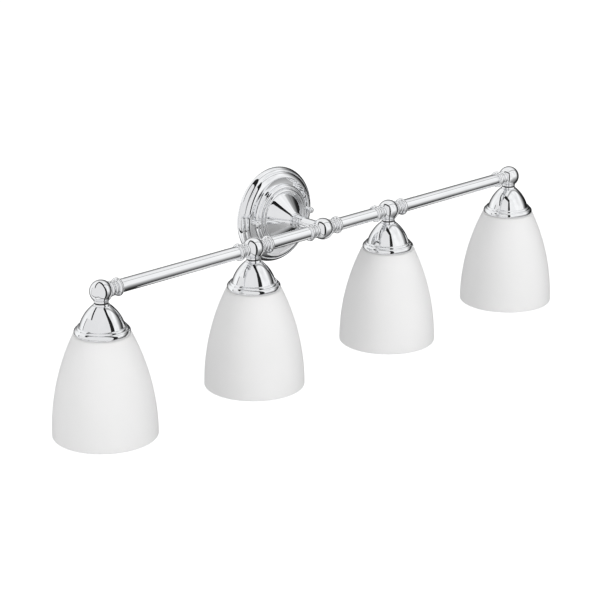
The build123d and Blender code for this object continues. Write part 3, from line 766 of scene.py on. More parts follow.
def moulded_plastic(finishes):
    """Moulded phenolic: satin, with a fine texture from the mould and slight flow marks."""
    material, recipe = new_material("phenolic")
    flow = recipe.noise(60.0, 4.0, 0.6, (1.0, 1.0, 4.0))
    texture = recipe.noise(1100.0, 2.0, 0.6)
    colour = recipe.mix(flow.above(0.5, 0.5), finishes.phenolic, (0.76, 0.73, 0.66))
    normal = recipe.bump(texture, 0.12, 0.0002)
    recipe.finish(recipe.principled(Base_Color=colour, Roughness=0.34 + flow * 0.16, Normal=normal))
    return material


def green_ground(finishes):
    """Dyed zinc of the earthing screw, worn to metal in small patches."""
    material, recipe = new_material("green_ground")
    worn = recipe.noise(600.0, 3.0, 0.6).above(0.64, 0.12)
    fine = recipe.noise(1300.0, 2.0, 0.5)
    colour = recipe.mix(worn, finishes.green, finishes.steel)
    recipe.finish(
        recipe.principled(
            Base_Color=colour, Metallic=0.5 + worn * 0.5, Roughness=0.3 + fine * 0.12,
            Normal=recipe.bump(fine, 0.08, 0.0002)
        )
    )
    return material


def lead_insulation(finishes):
    """Braided heat-proof sleeve: two crossing sets of fine strands."""
    material, recipe = new_material("lead_insulation")
    place = recipe.place()
    strands = []
    for way in ((1.0, 1.0, 1.0), (1.0, -1.0, -1.0)):
        turned_place = recipe.node("ShaderNodeMapping", None, {"Vector": place, "Scale": way})
        sockets = {"Vector": turned_place, "Scale": 380.0}
        strands.append(recipe.node("ShaderNodeTexWave", {"bands_direction": "DIAGONAL"}, sockets))
    first, second = strands
    weave = first.math("MAXIMUM", first, second)
    fuzz = recipe.noise(1500.0, 2.0, 0.6)
    colour = recipe.mix(weave * 0.6 + fuzz * 0.3, (0.52, 0.50, 0.45), finishes.lead)
    normal = recipe.bump(weave + fuzz * 0.3, 0.3, 0.0002)
    recipe.finish(recipe.principled(Base_Color=colour, Roughness=0.6 + fuzz * 0.2, Normal=normal))
    return material


FINISHES = {
    "polished_chrome": polished_chrome,
    "frosted_glass": frosted_glass,
    "zinc_plated_steel": zinc_plated_steel,
    "brass": brass,
    "nickel_shell": nickel_shell,
    "porcelain": porcelain,
    "phenolic": moulded_plastic,
    "green_ground": green_ground,
    "lead_insulation": lead_insulation,
}
made_finishes = {}


def finish_of(slot):
    """The one material of a slot, made when it is first asked for."""
    if slot not in made_finishes:
        made_finishes[slot] = FINISHES[slot](bpy.context.scene.light_bar.finishes)
    return made_finishes[slot]


def made(name, solid, slot, body, *nodes):
    """Piece with the finish of its slot."""
    return piece(name, solid, finish_of(slot), slot, body, *nodes)


def repaint(node, slot):
    """Give a CAD node that stays in view the finish of its slot."""
    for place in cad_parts[node].material_slots:
        place.material = finish_of(slot)


def plain_ball(radius, steps):
    """Profile of a whole ball, from pole to pole."""
    angle = np.linspace(-math.pi / 2, math.pi / 2, steps + 1)
    profile = radius * np.stack((np.cos(angle), np.sin(angle)), 1)
    profile[[0, -1], 0] = 0.0
    return profile


# ---------------------------------------------------------------- canopy and bell
def canopy_depths(sizes):
    """Depths in front of the wall of the canopy's floor, bead and centre plate."""
    floor = sizes.rim_depth - sizes.groove + sizes.roll_depth - sizes.groove
    bead = floor + sizes.cove_depth
    return floor, bead, bead + sizes.groove


def canopy_radii(sizes):
    """Radii of the canopy's groove, shoulder, floor, bead and bell seat."""
    steps_in = (sizes.rim_width, sizes.roll_width, sizes.floor_width, sizes.cove_width, sizes.bead_width)
    return float(span("canopy")[1][0]) - np.cumsum(steps_in)


def canopy_profile(sizes, meshing):
    """Stepped section: rim, groove, broad roll, flat band, cove, bead, centre plate, then the inside."""
    floor, bead_top, centre = canopy_depths(sizes)
    groove, shoulder, floor_inner, bead, seat = canopy_radii(sizes)
    back = float(span("canopy")[1][0]) - sizes.rim_lip
    wall, notch, steps = sizes.wall, sizes.groove, meshing.bend_steps
    hole = arm_hole()
    outside = path_of(
        arc_through((back, 0), (back, sizes.rim_depth * 0.6), (groove, sizes.rim_depth), 2 * steps),
        (groove - notch, sizes.rim_depth - notch),
        bulge((groove - notch, sizes.rim_depth - notch), (shoulder, floor + notch), -wall, steps),
        (shoulder - notch, floor),
        (floor_inner, floor),
        bulge((floor_inner, floor), (bead, bead_top), notch, steps),
        bulge((bead, bead_top), (seat, centre + notch), -sizes.bead_height / 2, steps),
        (seat, centre),
        (hole, centre),
    )
    inside = path_of(
        (hole, centre - wall),
        (bead - wall, centre - wall),
        (bead - wall, floor - wall),
        (shoulder - wall, floor - wall),
        (groove - wall, sizes.rim_depth - 2 * wall),
        (back - wall, sizes.rim_depth / 3),
        (back - wall, 0),
    )
    return rounded(path_of(outside, inside), meshing.edge_round)


def arm_hole():
    """Radius of the hole for the arm in canopy, bell, washer and nut."""
    return bpy.context.scene.light_bar.tubes.arm_thread_radius + SLIDING_GAP


def bell_profile(sizes, meshing):
    """Beaded foot, straight cone and flat end face, hollow behind."""
    _, _, centre = canopy_depths(sizes)
    base = canopy_radii(sizes)[4] - sizes.bell_gap
    foot = base - sizes.bell_bead_width
    tip = -float(span("bell")[0][1])
    hole = arm_hole()
    slant = math.sqrt(2) * sizes.bell_wall
    section = path_of(
        bulge((base, centre), (foot, centre + sizes.groove), -sizes.bell_bead_height, 2 * meshing.bend_steps),
        line((foot, centre + sizes.groove), (sizes.bell_tip_radius, tip), 12),
        (hole, tip),
        (hole, tip - sizes.bell_tip_thickness),
        (sizes.bell_tip_radius, tip - sizes.bell_tip_thickness),
        (foot - slant, centre + sizes.groove),
        (foot - slant, centre),
    )
    return rounded(section, meshing.edge_round)


def cap_nut_profile(sizes, meshing):
    """Small foot, waist and ball of a cap nut, along its stud."""
    ball_foot = sizes.nut_ball_height - math.sqrt(sizes.nut_ball_radius**2 - sizes.nut_neck_radius**2)
    ball = arc_through(
        (sizes.nut_neck_radius, ball_foot),
        (sizes.nut_ball_radius, sizes.nut_ball_height),
        (0.0, sizes.nut_ball_height + sizes.nut_ball_radius),
        3 * meshing.bend_steps,
    )
    foot = path_of(
        (0.0, 0.0),
        (sizes.nut_base_radius, 0.0),
        (sizes.nut_base_radius, sizes.nut_base_thickness),
        (sizes.nut_neck_radius, sizes.nut_base_thickness + MM),
        (sizes.nut_neck_radius, ball_foot),
    )
    return path_of(rounded(foot, meshing.edge_round, closed=False), ball)


class LIGHTBAR_OT_canopy(Operator):
    """Canopy, its two cap nuts and the bell"""

    bl_idname = "light_bar.canopy"
    bl_label = "Canopy and bell"

    def execute(self, context):
        settings = context.scene.light_bar
        sizes, meshing = settings.canopy, settings.meshing
        canopy = turned(canopy_profile(sizes, meshing), wall_place, OUT_OF_WALL, meshing.wide_steps)
        made("stepped_canopy", canopy, "polished_chrome", FIXTURE, "canopy")
        bell = turned(bell_profile(sizes, meshing), wall_place, OUT_OF_WALL, meshing.wide_steps)
        made("beaded_bell", bell, "polished_chrome", FIXTURE, "bell")
        floor = canopy_depths(sizes)[0]
        reach = span("cap_nuts")[1][0] - sizes.nut_ball_radius
        nut = cap_nut_profile(sizes, meshing)
        nuts = []
        for side in (-1, 1):
            place = wall_place + ALONG_BAR * side * reach + OUT_OF_WALL * floor
            nuts.append(turned(nut, place, OUT_OF_WALL, meshing.small_steps))
        made("ball_cap_nuts", joined(*nuts), "polished_chrome", FIXTURE, "cap_nuts")
        return {"FINISHED"}


# ---------------------------------------------------------------- wall side hardware
class LIGHTBAR_OT_wall_side(Operator):
    """Mounting plate, earthing screw, studs, their nuts, and the arm's washer and nut"""

    bl_idname = "light_bar.wall_side"
    bl_label = "Wall side hardware"

    def execute(self, context):
        settings = context.scene.light_bar
        meshing = settings.meshing
        repaint("mounting_plate", "zinc_plated_steel")
        self.make_studs(meshing)
        self.make_earth_screw(meshing)
        self.make_arm_nut(meshing)
        return {"FINISHED"}

    @staticmethod
    def make_studs(meshing):
        """Finely threaded studs, and a chamfered nut on each."""
        low, high, _ = span("canopy_studs")
        nut_low, nut_high, _ = span("stud_lock_nuts")
        radius = (high[2] - low[2]) / 2
        reach = high[0] - radius
        flats = 2 * min(nut_high[0] - reach, (nut_high[2] - nut_low[2]) / 2)
        length_out = -low[1]
        pitch, depth, chamfer = 0.8 * MM, 0.32 * MM, 0.5 * MM
        rows = int(length_out / pitch * meshing.thread_rows)
        profile = path_of(
            (0.0, 0.0),
            (radius - chamfer, 0.0),
            (radius, chamfer),
            line((radius, chamfer), (radius, length_out - chamfer), rows),
            (radius - chamfer, length_out),
            (0.0, length_out),
        )
        thread = helix(pitch, depth, chamfer, length_out - chamfer, chamfer)
        thickness, steps = nut_high[1] - nut_low[1], meshing.small_steps
        studs, nuts = [], []
        for side in (-1, 1):
            place = wall_place + ALONG_BAR * side * reach
            studs.append(turned(profile, place, OUT_OF_WALL, steps // 2, thread))
            near = place + OUT_OF_WALL * -nut_high[1]
            nuts.append(hex_nut(near, OUT_OF_WALL, flats, radius, thickness, steps))
        made("threaded_studs", joined(*studs), "zinc_plated_steel", FIXTURE, "canopy_studs")
        made("stud_nuts", joined(*nuts), "zinc_plated_steel", FIXTURE, "stud_lock_nuts")

    @staticmethod
    def make_earth_screw(meshing):
        """Hexagon-headed screw: domed, chamfered head on a washer face, and its shank."""
        low, high, middle = span("ground_screw")
        head_top = -low[1]
        seat = -span("mounting_plate")[0][1]
        flats = min(high[0] - low[0], high[2] - low[2])
        half, corner = flats / 2, flats / math.sqrt(3)
        dome_edge, dome_face = half * 0.9, half * 0.8
        shank, rim = 2.4 * MM, 0.5 * MM
        profile = path_of(
            (0.0, 0.0),
            (shank, 0.0),
            (shank, seat),
            (half, seat),
            line((half, seat + rim), (corner, seat + rim + rim / 2), 3),
            line((corner, head_top - 2 * rim), (dome_edge, head_top - rim / 2), 6),
            (dome_face, head_top),
            (0.0, head_top),
        )
        place = np.array((middle[0], 0.0, middle[2]))
        screw = turned(profile, place, OUT_OF_WALL, meshing.small_steps, hexagon(flats))
        made("earth_screw", screw, "green_ground", FIXTURE, "ground_screw")

    @staticmethod
    def make_arm_nut(meshing):
        """Flat washer and chamfered nut that clamp canopy, bell and arm."""
        bore = arm_hole()
        low, high, _ = span("arm_lock_washer")
        radius = high[2] - bar_place[2]
        section = path_of((bore, -high[1]), (radius, -high[1]), (radius, -low[1]), (bore, -low[1]))
        section = rounded(section, meshing.edge_round)
        washer = turned(section, wall_place, OUT_OF_WALL, meshing.small_steps)
        made("arm_washer", washer, "zinc_plated_steel", FIXTURE, "arm_lock_washer")
        low, high, _ = span("arm_lock_nut")
        flats = min(high[0] - low[0], high[2] - low[2])
        near = wall_place + OUT_OF_WALL * -high[1]
        nut = hex_nut(near, OUT_OF_WALL, flats, bore, high[1] - low[1], meshing.small_steps)
        made("arm_nut", nut, "zinc_plated_steel", FIXTURE, "arm_lock_nut")


# ---------------------------------------------------------------- balls, bar and arm
class LIGHTBAR_OT_balls(Operator):
    """Centre ball and the four lamp balls"""

    bl_idname = "light_bar.balls"
    bl_label = "Balls"

    def execute(self, context):
        meshing = context.scene.light_bar.meshing
        profile = plain_ball(ball_radius, meshing.turn_steps // 2)
        centre = turned(profile, bar_place, OUT_OF_WALL, meshing.turn_steps)
        made("centre_hub_ball", centre, "polished_chrome", FIXTURE, "center_ball")
        for lamp in LAMPS:
            ball = turned(profile, lamp_place(lamp), UP, meshing.turn_steps)
            made(f"hub_ball_{lamp}", ball, "polished_chrome", FIXTURE, f"lamp_ball_{lamp}")
        return {"FINISHED"}


def collar_profile(sizes, meshing, tube_radius):
    """Spigot, swelling neck, small bead, large bead and tail, outwards from the ball's centre."""
    seat = math.sqrt(ball_radius**2 - sizes.neck_radius**2)
    foot = seat - sizes.spigot_length
    neck_end = seat + sizes.neck_length
    gap = neck_end + sizes.small_bead_length
    end = gap + sizes.large_bead_length
    tail_radius = tube_radius - sizes.tube_wall - SLIDING_GAP
    steps = meshing.bend_steps
    section = path_of(
        (sizes.bore_radius, foot),
        (sizes.spigot_radius, foot),
        (sizes.spigot_radius, seat),
        bulge((sizes.neck_radius, seat), (sizes.valley_radius, neck_end), -sizes.neck_bulge, steps),
        bulge((sizes.valley_radius, neck_end), (sizes.valley_radius, gap), -sizes.small_bead_height, steps),
        bulge((sizes.valley_radius, gap), (tube_radius, end), -sizes.large_bead_height, 2 * steps),
        (tail_radius, end),
        (tail_radius, end + sizes.tail_length),
        (sizes.bore_radius, end + sizes.tail_length),
    )
    return rounded(section, meshing.edge_round / 2)


class LIGHTBAR_OT_bar(Operator):
    """Bar tubes and their beaded collars"""

    bl_idname = "light_bar.bar"
    bl_label = "Bar"

    def execute(self, context):
        settings = context.scene.light_bar
        sizes, meshing = settings.tubes, settings.meshing
        tube_radius = float(span("bar_tube_1")[1][2] - bar_place[2])
        collar = collar_profile(sizes, meshing, tube_radius)
        hubs = sorted([0.0, *(lamp_place(lamp)[0] for lamp in LAMPS)])
        for number in COLLARS:
            middle = span(f"bar_collar_{number}")[2][0]
            hub = min(hubs, key=lambda x: abs(x - middle))
            axis = ALONG_BAR * (1 if middle > hub else -1)
            solid = turned(collar, bar_place + ALONG_BAR * hub, axis, meshing.turn_steps)
            made(f"beaded_collar_{number}", solid, "polished_chrome", FIXTURE, f"bar_collar_{number}")
        bore, rows = tube_radius - sizes.tube_wall, 24
        for number in TUBES:
            low, high, _ = span(f"bar_tube_{number}")
            wall = line((tube_radius, low[0]), (tube_radius, high[0]), rows)
            section = rounded(path_of((bore, low[0]), wall, (bore, high[0])), meshing.edge_round / 2)
            tube = turned(section, bar_place, ALONG_BAR, meshing.turn_steps)
            made(f"plated_tube_{number}", tube, "polished_chrome", FIXTURE, f"bar_tube_{number}")
        return {"FINISHED"}


class LIGHTBAR_OT_arm(Operator):
    """Arm tube with its threaded rear, and the collar at the bell's tip"""

    bl_idname = "light_bar.arm"
    bl_label = "Arm"

    def execute(self, context):
        settings = context.scene.light_bar
        sizes, meshing = settings.tubes, settings.meshing
        tube_low, tube_high, _ = span("arm_tube")
        collar_low, collar_high, _ = span("arm_collar")
        tip, rear, front = -collar_high[1], -tube_high[1], -tube_low[1]
        seat = front - sizes.spigot_length
        rows = int((tip - rear) / sizes.fine_pitch * meshing.thread_rows)
        threaded, chamfer, depth = sizes.arm_thread_radius, sizes.fine_pitch / 2, 0.4 * MM
        section = path_of(
            (sizes.bore_radius, rear),
            (threaded - chamfer, rear),
            line((threaded, rear + chamfer), (threaded, tip), rows),
            line((sizes.arm_radius, tip), (sizes.arm_radius, seat), 12),
            (sizes.spigot_radius, seat),
            (sizes.spigot_radius, front),
            (sizes.bore_radius, front),
        )
        thread = helix(sizes.fine_pitch, depth, rear, tip, sizes.fine_pitch)
        outside_only = only_beyond(sizes.bore_radius + MM, thread)
        arm = turned(section, wall_place, OUT_OF_WALL, meshing.turn_steps, outside_only)
        made("arm_tube_finished", arm, "polished_chrome", FIXTURE, "arm_tube")
        collar = self.tip_collar(sizes, meshing, collar_high[2] - bar_place[2], tip, -collar_low[1])
        collar = turned(collar, wall_place, OUT_OF_WALL, meshing.turn_steps)
        made("arm_tip_collar", collar, "polished_chrome", FIXTURE, "arm_collar")
        return {"FINISHED"}

    @staticmethod
    def tip_collar(sizes, meshing, radius, rear, front):
        """Plain collar whose front edge is a quarter round, which stands out from its chord by 0.29 radii."""
        bore, quarter_rise = sizes.arm_radius + SLIDING_GAP, 0.29
        fillet = (radius - sizes.arm_radius) / 2
        start, end = (radius, front - fillet), (radius - fillet, front)
        edge = bulge(start, end, -fillet * quarter_rise, meshing.bend_steps)
        return rounded(path_of((bore, rear), (radius, rear), edge, (bore, front)), meshing.edge_round / 2)


# ---------------------------------------------------------------- caps
def cap_profile(sizes, meshing, lamp):
    """Domed cap: shallow arc down to a ledge, a small bead, the flange's full roll, then the inside."""
    low, high, _ = span(f"holder_cap_{lamp}")
    top, foot = high[2] - bar_place[2], low[2] - bar_place[2]
    outer = round_radius(f"holder_cap_{lamp}")
    bead_foot = foot + sizes.flange_height
    dome_foot = bead_foot + sizes.small_bead_height
    seat = dome_foot - sizes.seat_drop
    flange_overhang = 0.6 * MM
    dome_radius = sizes.inner_radius - sizes.ledge_width - sizes.small_bead_width - flange_overhang
    ledge = dome_radius + sizes.ledge_width
    bead = ledge + sizes.small_bead_width
    wall, steps = sizes.wall, meshing.bend_steps
    inner_top = (sizes.top_radius - wall, top - 1.5 * wall)
    section = path_of(
        bulge((sizes.top_radius, top), (dome_radius, dome_foot), sizes.dome_bulge, 2 * steps),
        (ledge, dome_foot),
        bulge((ledge, dome_foot), (bead, bead_foot), wall / 2, steps),
        arc_through((bead, bead_foot), (outer, (bead_foot + foot) / 2), (outer - wall, foot), 2 * steps),
        (sizes.inner_radius, foot),
        (sizes.inner_radius, seat),
        (dome_radius - wall, seat),
        (dome_radius - wall, dome_foot),
        bulge((dome_radius - wall, dome_foot), inner_top, -sizes.dome_bulge, 2 * steps),
        (inner_top[0], top - wall),
        (sizes.hole_radius, top - wall),
        (sizes.hole_radius, top),
    )
    return rounded(section, meshing.edge_round)


def neck_ring_profile(sizes, meshing, lamp):
    """Short lip under the ball, a narrow square groove, then a flaring foot with a chamfer on the cap."""
    low, high, _ = span(f"neck_ring_{lamp}")
    top, foot = high[2] - bar_place[2], low[2] - bar_place[2]
    foot_radius = round_radius(f"neck_ring_{lamp}")
    lip_radius = foot_radius - sizes.neck_flare
    groove_top = top - sizes.lip_height
    groove_foot = groove_top - sizes.groove_height
    section = path_of(
        (sizes.hole_radius, top),
        (lip_radius, top),
        (lip_radius, groove_top),
        (lip_radius - sizes.groove_depth, groove_top),
        (lip_radius - sizes.groove_depth, groove_foot),
        (lip_radius, groove_foot),
        (foot_radius, foot + sizes.neck_chamfer),
        (foot_radius - sizes.neck_chamfer, foot),
        (sizes.hole_radius, foot),
    )
    return rounded(section, meshing.edge_round / 2)


class LIGHTBAR_OT_caps(Operator):
    """Neck ring and domed cap of every lamp"""

    bl_idname = "light_bar.caps"
    bl_label = "Caps"

    def execute(self, context):
        settings = context.scene.light_bar
        sizes, meshing = settings.cap, settings.meshing
        groove_top = float(span("neck_ring_1")[1][2]) - sizes.lip_height
        # neck rings get chrome with painted shade in the band of their groove
        painted_groove_shade_chrome = polished_chrome(settings.finishes, (groove_top - sizes.groove_height, groove_top))
        steps = meshing.turn_steps
        for lamp in LAMPS:
            node = f"neck_ring_{lamp}"
            ring = turned(neck_ring_profile(sizes, meshing, lamp), lamp_place(lamp), UP, steps)
            piece(f"plated_{node}", ring, painted_groove_shade_chrome, "polished_chrome", FIXTURE, node)
            cap = turned(cap_profile(sizes, meshing, lamp), lamp_place(lamp), UP, steps)
            made(f"domed_cap_{lamp}", cap, "polished_chrome", FIXTURE, f"holder_cap_{lamp}")
        return {"FINISHED"}


# ---------------------------------------------------------------- inside the caps
class LIGHTBAR_OT_nipples(Operator):
    """Threaded nipples and their nuts"""

    bl_idname = "light_bar.nipples"
    bl_label = "Nipples"

    def execute(self, context):
        settings = context.scene.light_bar
        sizes, meshing = settings.tubes, settings.meshing
        low, high, _ = span("lamp_nipples")
        bottom, top = low[2] - bar_place[2], high[2] - bar_place[2]
        radius, bore, chamfer, depth = 4.86 * MM, 3.4 * MM, 0.4 * MM, 0.35 * MM
        rows = int((top - bottom) / sizes.fine_pitch * meshing.thread_rows)
        section = path_of(
            (bore, bottom),
            (radius - chamfer, bottom),
            line((radius, bottom + chamfer), (radius, top - chamfer), rows),
            (radius - chamfer, top),
            (bore, top),
        )
        outside_only = only_beyond(bore + MM, helix(sizes.fine_pitch, depth, bottom, top, chamfer))
        steps = meshing.turn_steps // 2
        nipples = [turned(section, lamp_place(lamp), UP, steps, outside_only) for lamp in LAMPS]
        made("threaded_nipples", joined(*nipples), "brass", FIXTURE, "lamp_nipples")
        low, high, _ = span("nipple_nuts")
        flats = min(high[1] - low[1], high[0] - low[0] - (lamp_place(4)[0] - lamp_place(1)[0]))
        nuts = []
        for lamp in LAMPS:
            near = lamp_place(lamp) + UP * (low[2] - bar_place[2])
            nuts.append(hex_nut(near, UP, flats, radius, high[2] - low[2], meshing.small_steps))
        made("nipple_hex_nuts", joined(*nuts), "zinc_plated_steel", FIXTURE, "nipple_nuts")
        return {"FINISHED"}


def holder_levels(sizes, lamp):
    """Heights from the bar's axis: top, mouth, thread end and shoulder of a lampholder."""
    low, high, _ = span(f"lampholder_{lamp}")
    top, mouth = high[2] - bar_place[2], low[2] - bar_place[2]
    return top, mouth, mouth + sizes.mouth_length, top - sizes.top_height - sizes.shoulder_height


def holder_solid(settings, lamp):
    """Porcelain body: narrow top, sloping shoulder, shade thread, plain mouth, bore, floor and chamber."""
    sizes, shade, meshing = settings.holder, settings.shade, settings.meshing
    top, mouth, thread_end, shoulder = holder_levels(sizes, lamp)
    thread_radius = round_radius(f"lampholder_{lamp}")
    floor = span("center_contacts")[1][2] - bar_place[2]
    chamber_floor = floor + sizes.floor_thickness
    chamber_top = top - sizes.chamber_top_drop
    rows = int((shoulder - thread_end) / shade.ring_pitch * meshing.glass_thread_rows)
    soft, pinhole = 0.8 * MM, 0.02 * MM
    outside = path_of(
        (sizes.hole_radius, top),
        (sizes.top_radius, top),
        (sizes.top_radius, top - sizes.top_height),
        line((thread_radius, shoulder), (thread_radius, thread_end), rows),
        (sizes.mouth_radius, thread_end),
        (sizes.mouth_radius, mouth),
        (sizes.bore_radius, mouth),
        (sizes.bore_radius, floor),
    )
    inside = path_of(
        (sizes.chamber_radius, chamber_floor),
        (sizes.chamber_radius, chamber_top),
        (sizes.hole_radius, chamber_top),
    )
    section = rounded(path_of(outside, (pinhole, floor), (pinhole, chamber_floor), inside), soft / 2)
    thread = helix(shade.ring_pitch, shade.thread_depth, thread_end, shoulder, soft)
    outside_only = only_beyond(sizes.mouth_radius + 0.5 * MM, thread)
    return turned(section, lamp_place(lamp), UP, meshing.turn_steps, outside_only)


def terminal_screws(settings, lamp):
    """Two slotted terminal screws; the head is a low dome with its slot sunk by a band across it."""
    sizes, meshing = settings.holder, settings.meshing
    height = span("terminal_screws")[2][2]
    shank, shank_length, dome_rise, dome_rows = 1.5 * MM, 3.0 * MM, 0.2 * MM, 16
    radius, top = sizes.screw_head_radius, sizes.screw_head_height
    dome_foot, slot_floor = top * 0.55, top * 0.45
    head = path_of(
        (0.0, -shank_length),
        (shank, -shank_length),
        (shank, 0.0),
        (radius, 0.0),
        bulge((radius, dome_foot), (0.0, top), -dome_rise, dome_rows),
    )
    screws = []
    for side in (-1, 1):
        axis = ALONG_BAR * side
        place = lamp_place(lamp) * (1, 1, 0) + UP * height + axis * sizes.top_radius
        points, quads, triangles = turned(head, place, axis, meshing.small_steps // 2)
        out = (points - place) @ axis
        level = (points - place) @ UP
        sunk = (np.abs(level) < sizes.screw_slot / 2) & (out > slot_floor)
        points = points - np.outer(np.where(sunk, out - slot_floor, 0.0), axis)
        screws.append((points, quads, triangles))
    return screws


class LIGHTBAR_OT_lampholders(Operator):
    """Porcelain lampholders and their terminal screws"""

    bl_idname = "light_bar.lampholders"
    bl_label = "Lampholders"

    def execute(self, context):
        settings = context.scene.light_bar
        screws = []
        for lamp in LAMPS:
            solid = holder_solid(settings, lamp)
            made(f"porcelain_holder_{lamp}", solid, "porcelain", FIXTURE, f"lampholder_{lamp}")
            screws += terminal_screws(settings, lamp)
        made("slotted_terminal_screws", joined(*screws), "brass", FIXTURE, "terminal_screws")
        return {"FINISHED"}


class LIGHTBAR_OT_contacts(Operator):
    """Rolled screw shells and centre contacts"""

    bl_idname = "light_bar.contacts"
    bl_label = "Screw shells and contacts"

    def execute(self, context):
        settings = context.scene.light_bar
        sizes, meshing = settings.holder, settings.meshing
        for lamp in LAMPS:
            solid = self.shell(sizes, meshing, lamp)
            made(f"rolled_shell_{lamp}", solid, "nickel_shell", FIXTURE, f"screw_shell_{lamp}")
        low, high, _ = span("center_contacts")
        top, foot = high[2] - bar_place[2], low[2] - bar_place[2]
        disc = (high[1] - low[1]) / 2
        face = foot + sizes.rivet_height
        rivet_edge, rivet_rise, rivet_rows = face + 0.1 * MM, 0.35 * MM, 12
        section = path_of(
            (0.0, top),
            (disc, top),
            (disc, face),
            (sizes.rivet_radius, face),
            bulge((sizes.rivet_radius, rivet_edge), (0.0, foot), rivet_rise, rivet_rows),
        )
        contacts = [turned(section, lamp_place(lamp), UP, meshing.small_steps) for lamp in LAMPS]
        made("riveted_contacts", joined(*contacts), "brass", FIXTURE, "center_contacts")
        return {"FINISHED"}

    @staticmethod
    def shell(sizes, meshing, lamp):
        """Thin sheet whose two faces follow the same rounded thread, plain for a short way at both ends."""
        low, high, _ = span(f"screw_shell_{lamp}")
        bottom, top = low[2] - bar_place[2], high[2] - bar_place[2]
        outer = round_radius(f"screw_shell_{lamp}")
        inner = outer - sizes.shell_wall
        plain_foot, plain_top, fade = 1.0 * MM, 1.5 * MM, 1.5 * MM
        rows = int((top - bottom) / sizes.shell_pitch * meshing.lamp_thread_rows)
        outside = line((outer, bottom), (outer, top), rows)
        inside = line((inner, top), (inner, bottom), rows)
        thread = helix(sizes.shell_pitch, sizes.shell_depth, bottom + plain_foot, top - plain_top, fade)
        return turned(path_of(outside, inside), lamp_place(lamp), UP, meshing.turn_steps, thread)


class LIGHTBAR_OT_rings(Operator):
    """Retaining rings that clamp the glass"""

    bl_idname = "light_bar.rings"
    bl_label = "Retaining rings"

    def execute(self, context):
        settings = context.scene.light_bar
        for lamp in LAMPS:
            solid = self.ring(settings, lamp)
            made(f"moulded_ring_{lamp}", solid, "phenolic", f"ring_{lamp}", f"retaining_ring_{lamp}")
        return {"FINISHED"}

    @staticmethod
    def ring(settings, lamp):
        """Ring with round finger notches.

        A ray at angle t from a notch's middle meets its circle at R cos t - sqrt(n*n - (R sin t)^2).
        """
        shade, meshing = settings.shade, settings.meshing
        low, high, _ = span(f"retaining_ring_{lamp}")
        bottom, top = low[2] - bar_place[2], high[2] - bar_place[2]
        outer = round_radius(f"retaining_ring_{lamp}")
        notch = shade.ring_notch_radius
        edge, bore_zone = 0.6 * MM, 0.1 * MM
        rows = int((top - bottom) / shade.ring_pitch * meshing.glass_thread_rows)
        section = path_of(
            (shade.ring_bore + edge, bottom),
            (outer - edge, bottom),
            (outer, bottom + edge),
            line((outer, bottom + edge), (outer, top - edge), 6),
            (outer - edge, top),
            (shade.ring_bore + edge, top),
            line((shade.ring_bore, top - edge), (shade.ring_bore, bottom + edge), rows),
        )
        pitch_turn = 2 * math.pi / shade.ring_notches
        fine = helix(shade.ring_pitch, -shade.thread_depth, bottom, top, edge)

        def swell(turn, radius, along):
            from_notch = np.mod(turn + pitch_turn / 2, pitch_turn) - pitch_turn / 2
            offset = outer * np.sin(from_notch)
            reach = np.sqrt(np.maximum(notch**2 - offset**2, 0))
            limit = np.where(np.abs(offset) < notch, outer * np.cos(from_notch) - reach, outer)
            threaded = np.where(radius < shade.ring_bore + bore_zone, fine(turn, radius, along), radius)
            soft = np.minimum(outer - radius, 0.0)
            return np.minimum(threaded, np.maximum(limit + soft, shade.ring_bore + MM))
        return turned(rounded(section, edge / 2), lamp_place(lamp), UP, 2 * meshing.turn_steps, swell)


# ---------------------------------------------------------------- shades
def shade_profile(sizes, meshing, lamp):
    """Bell of one long arc, upright at the rim, with a fire-polished rim and neck.

    The outer arc leaves the rim upright; for a rise h and a spread w its radius is (h*h + w*w) / 2w. The
    inner arc has the same centre, one wall nearer.
    """
    low, high, _ = span(f"glass_shade_{lamp}")
    flange_foot = span(f"holder_cap_{lamp}")[0][2] - bar_place[2]
    flange = round_radius(f"holder_cap_{lamp}")
    top, foot = high[2] - bar_place[2], low[2] - bar_place[2]
    rim = round_radius(f"glass_shade_{lamp}")
    wall = sizes.glass_wall
    rim_height = foot + wall / 2
    shoulder = flange + sizes.shoulder_step
    shoulder_height = flange_foot - sizes.shoulder_gap - sizes.shoulder_step / 2
    rise, spread = shoulder_height - rim_height, rim - shoulder
    radius = (rise**2 + spread**2) / (2 * spread)
    angle = np.linspace(0, math.asin(rise / radius), 4 * meshing.bend_steps + 1)
    centre = rim - radius
    side = np.stack((np.cos(angle), np.sin(angle)), 1)
    outer = (centre, rim_height) + radius * side
    inner = (centre, rim_height) + (radius - wall) * side
    neck_inner = sizes.neck_radius - wall
    plate = top - sizes.plate_thickness
    rim_round = arc_through(inner[0], (rim - wall / 2, foot), outer[0], meshing.bend_steps)
    neck = path_of(
        (flange, flange_foot - sizes.shoulder_gap),
        (sizes.neck_radius, flange_foot),
        (sizes.neck_radius, top),
        (sizes.hole_radius, top),
        (sizes.hole_radius, plate),
        (neck_inner, plate),
        (neck_inner, inner[-1, 1] + wall / 3),
    )
    section = path_of(rim_round[:-1], outer, neck, inner[::-1][:-1])
    return rounded(section, sizes.neck_round, least_turn=math.radians(20))


class LIGHTBAR_OT_shades(Operator):
    """Satin glass shades"""

    bl_idname = "light_bar.shades"
    bl_label = "Glass shades"

    def execute(self, context):
        settings = context.scene.light_bar
        for lamp in LAMPS:
            profile = shade_profile(settings.shade, settings.meshing, lamp)
            glass = turned(profile, lamp_place(lamp), UP, settings.meshing.wide_steps)
            made(f"satin_shade_{lamp}", glass, "frosted_glass", f"shade_{lamp}", f"glass_shade_{lamp}")
        return {"FINISHED"}


class LIGHTBAR_OT_leads(Operator):
    """Braided leads held inside the tubes"""

    bl_idname = "light_bar.leads"
    bl_label = "Leads"

    def execute(self, context):
        repaint("lamp_leads", "lead_insulation")
        return {"FINISHED"}


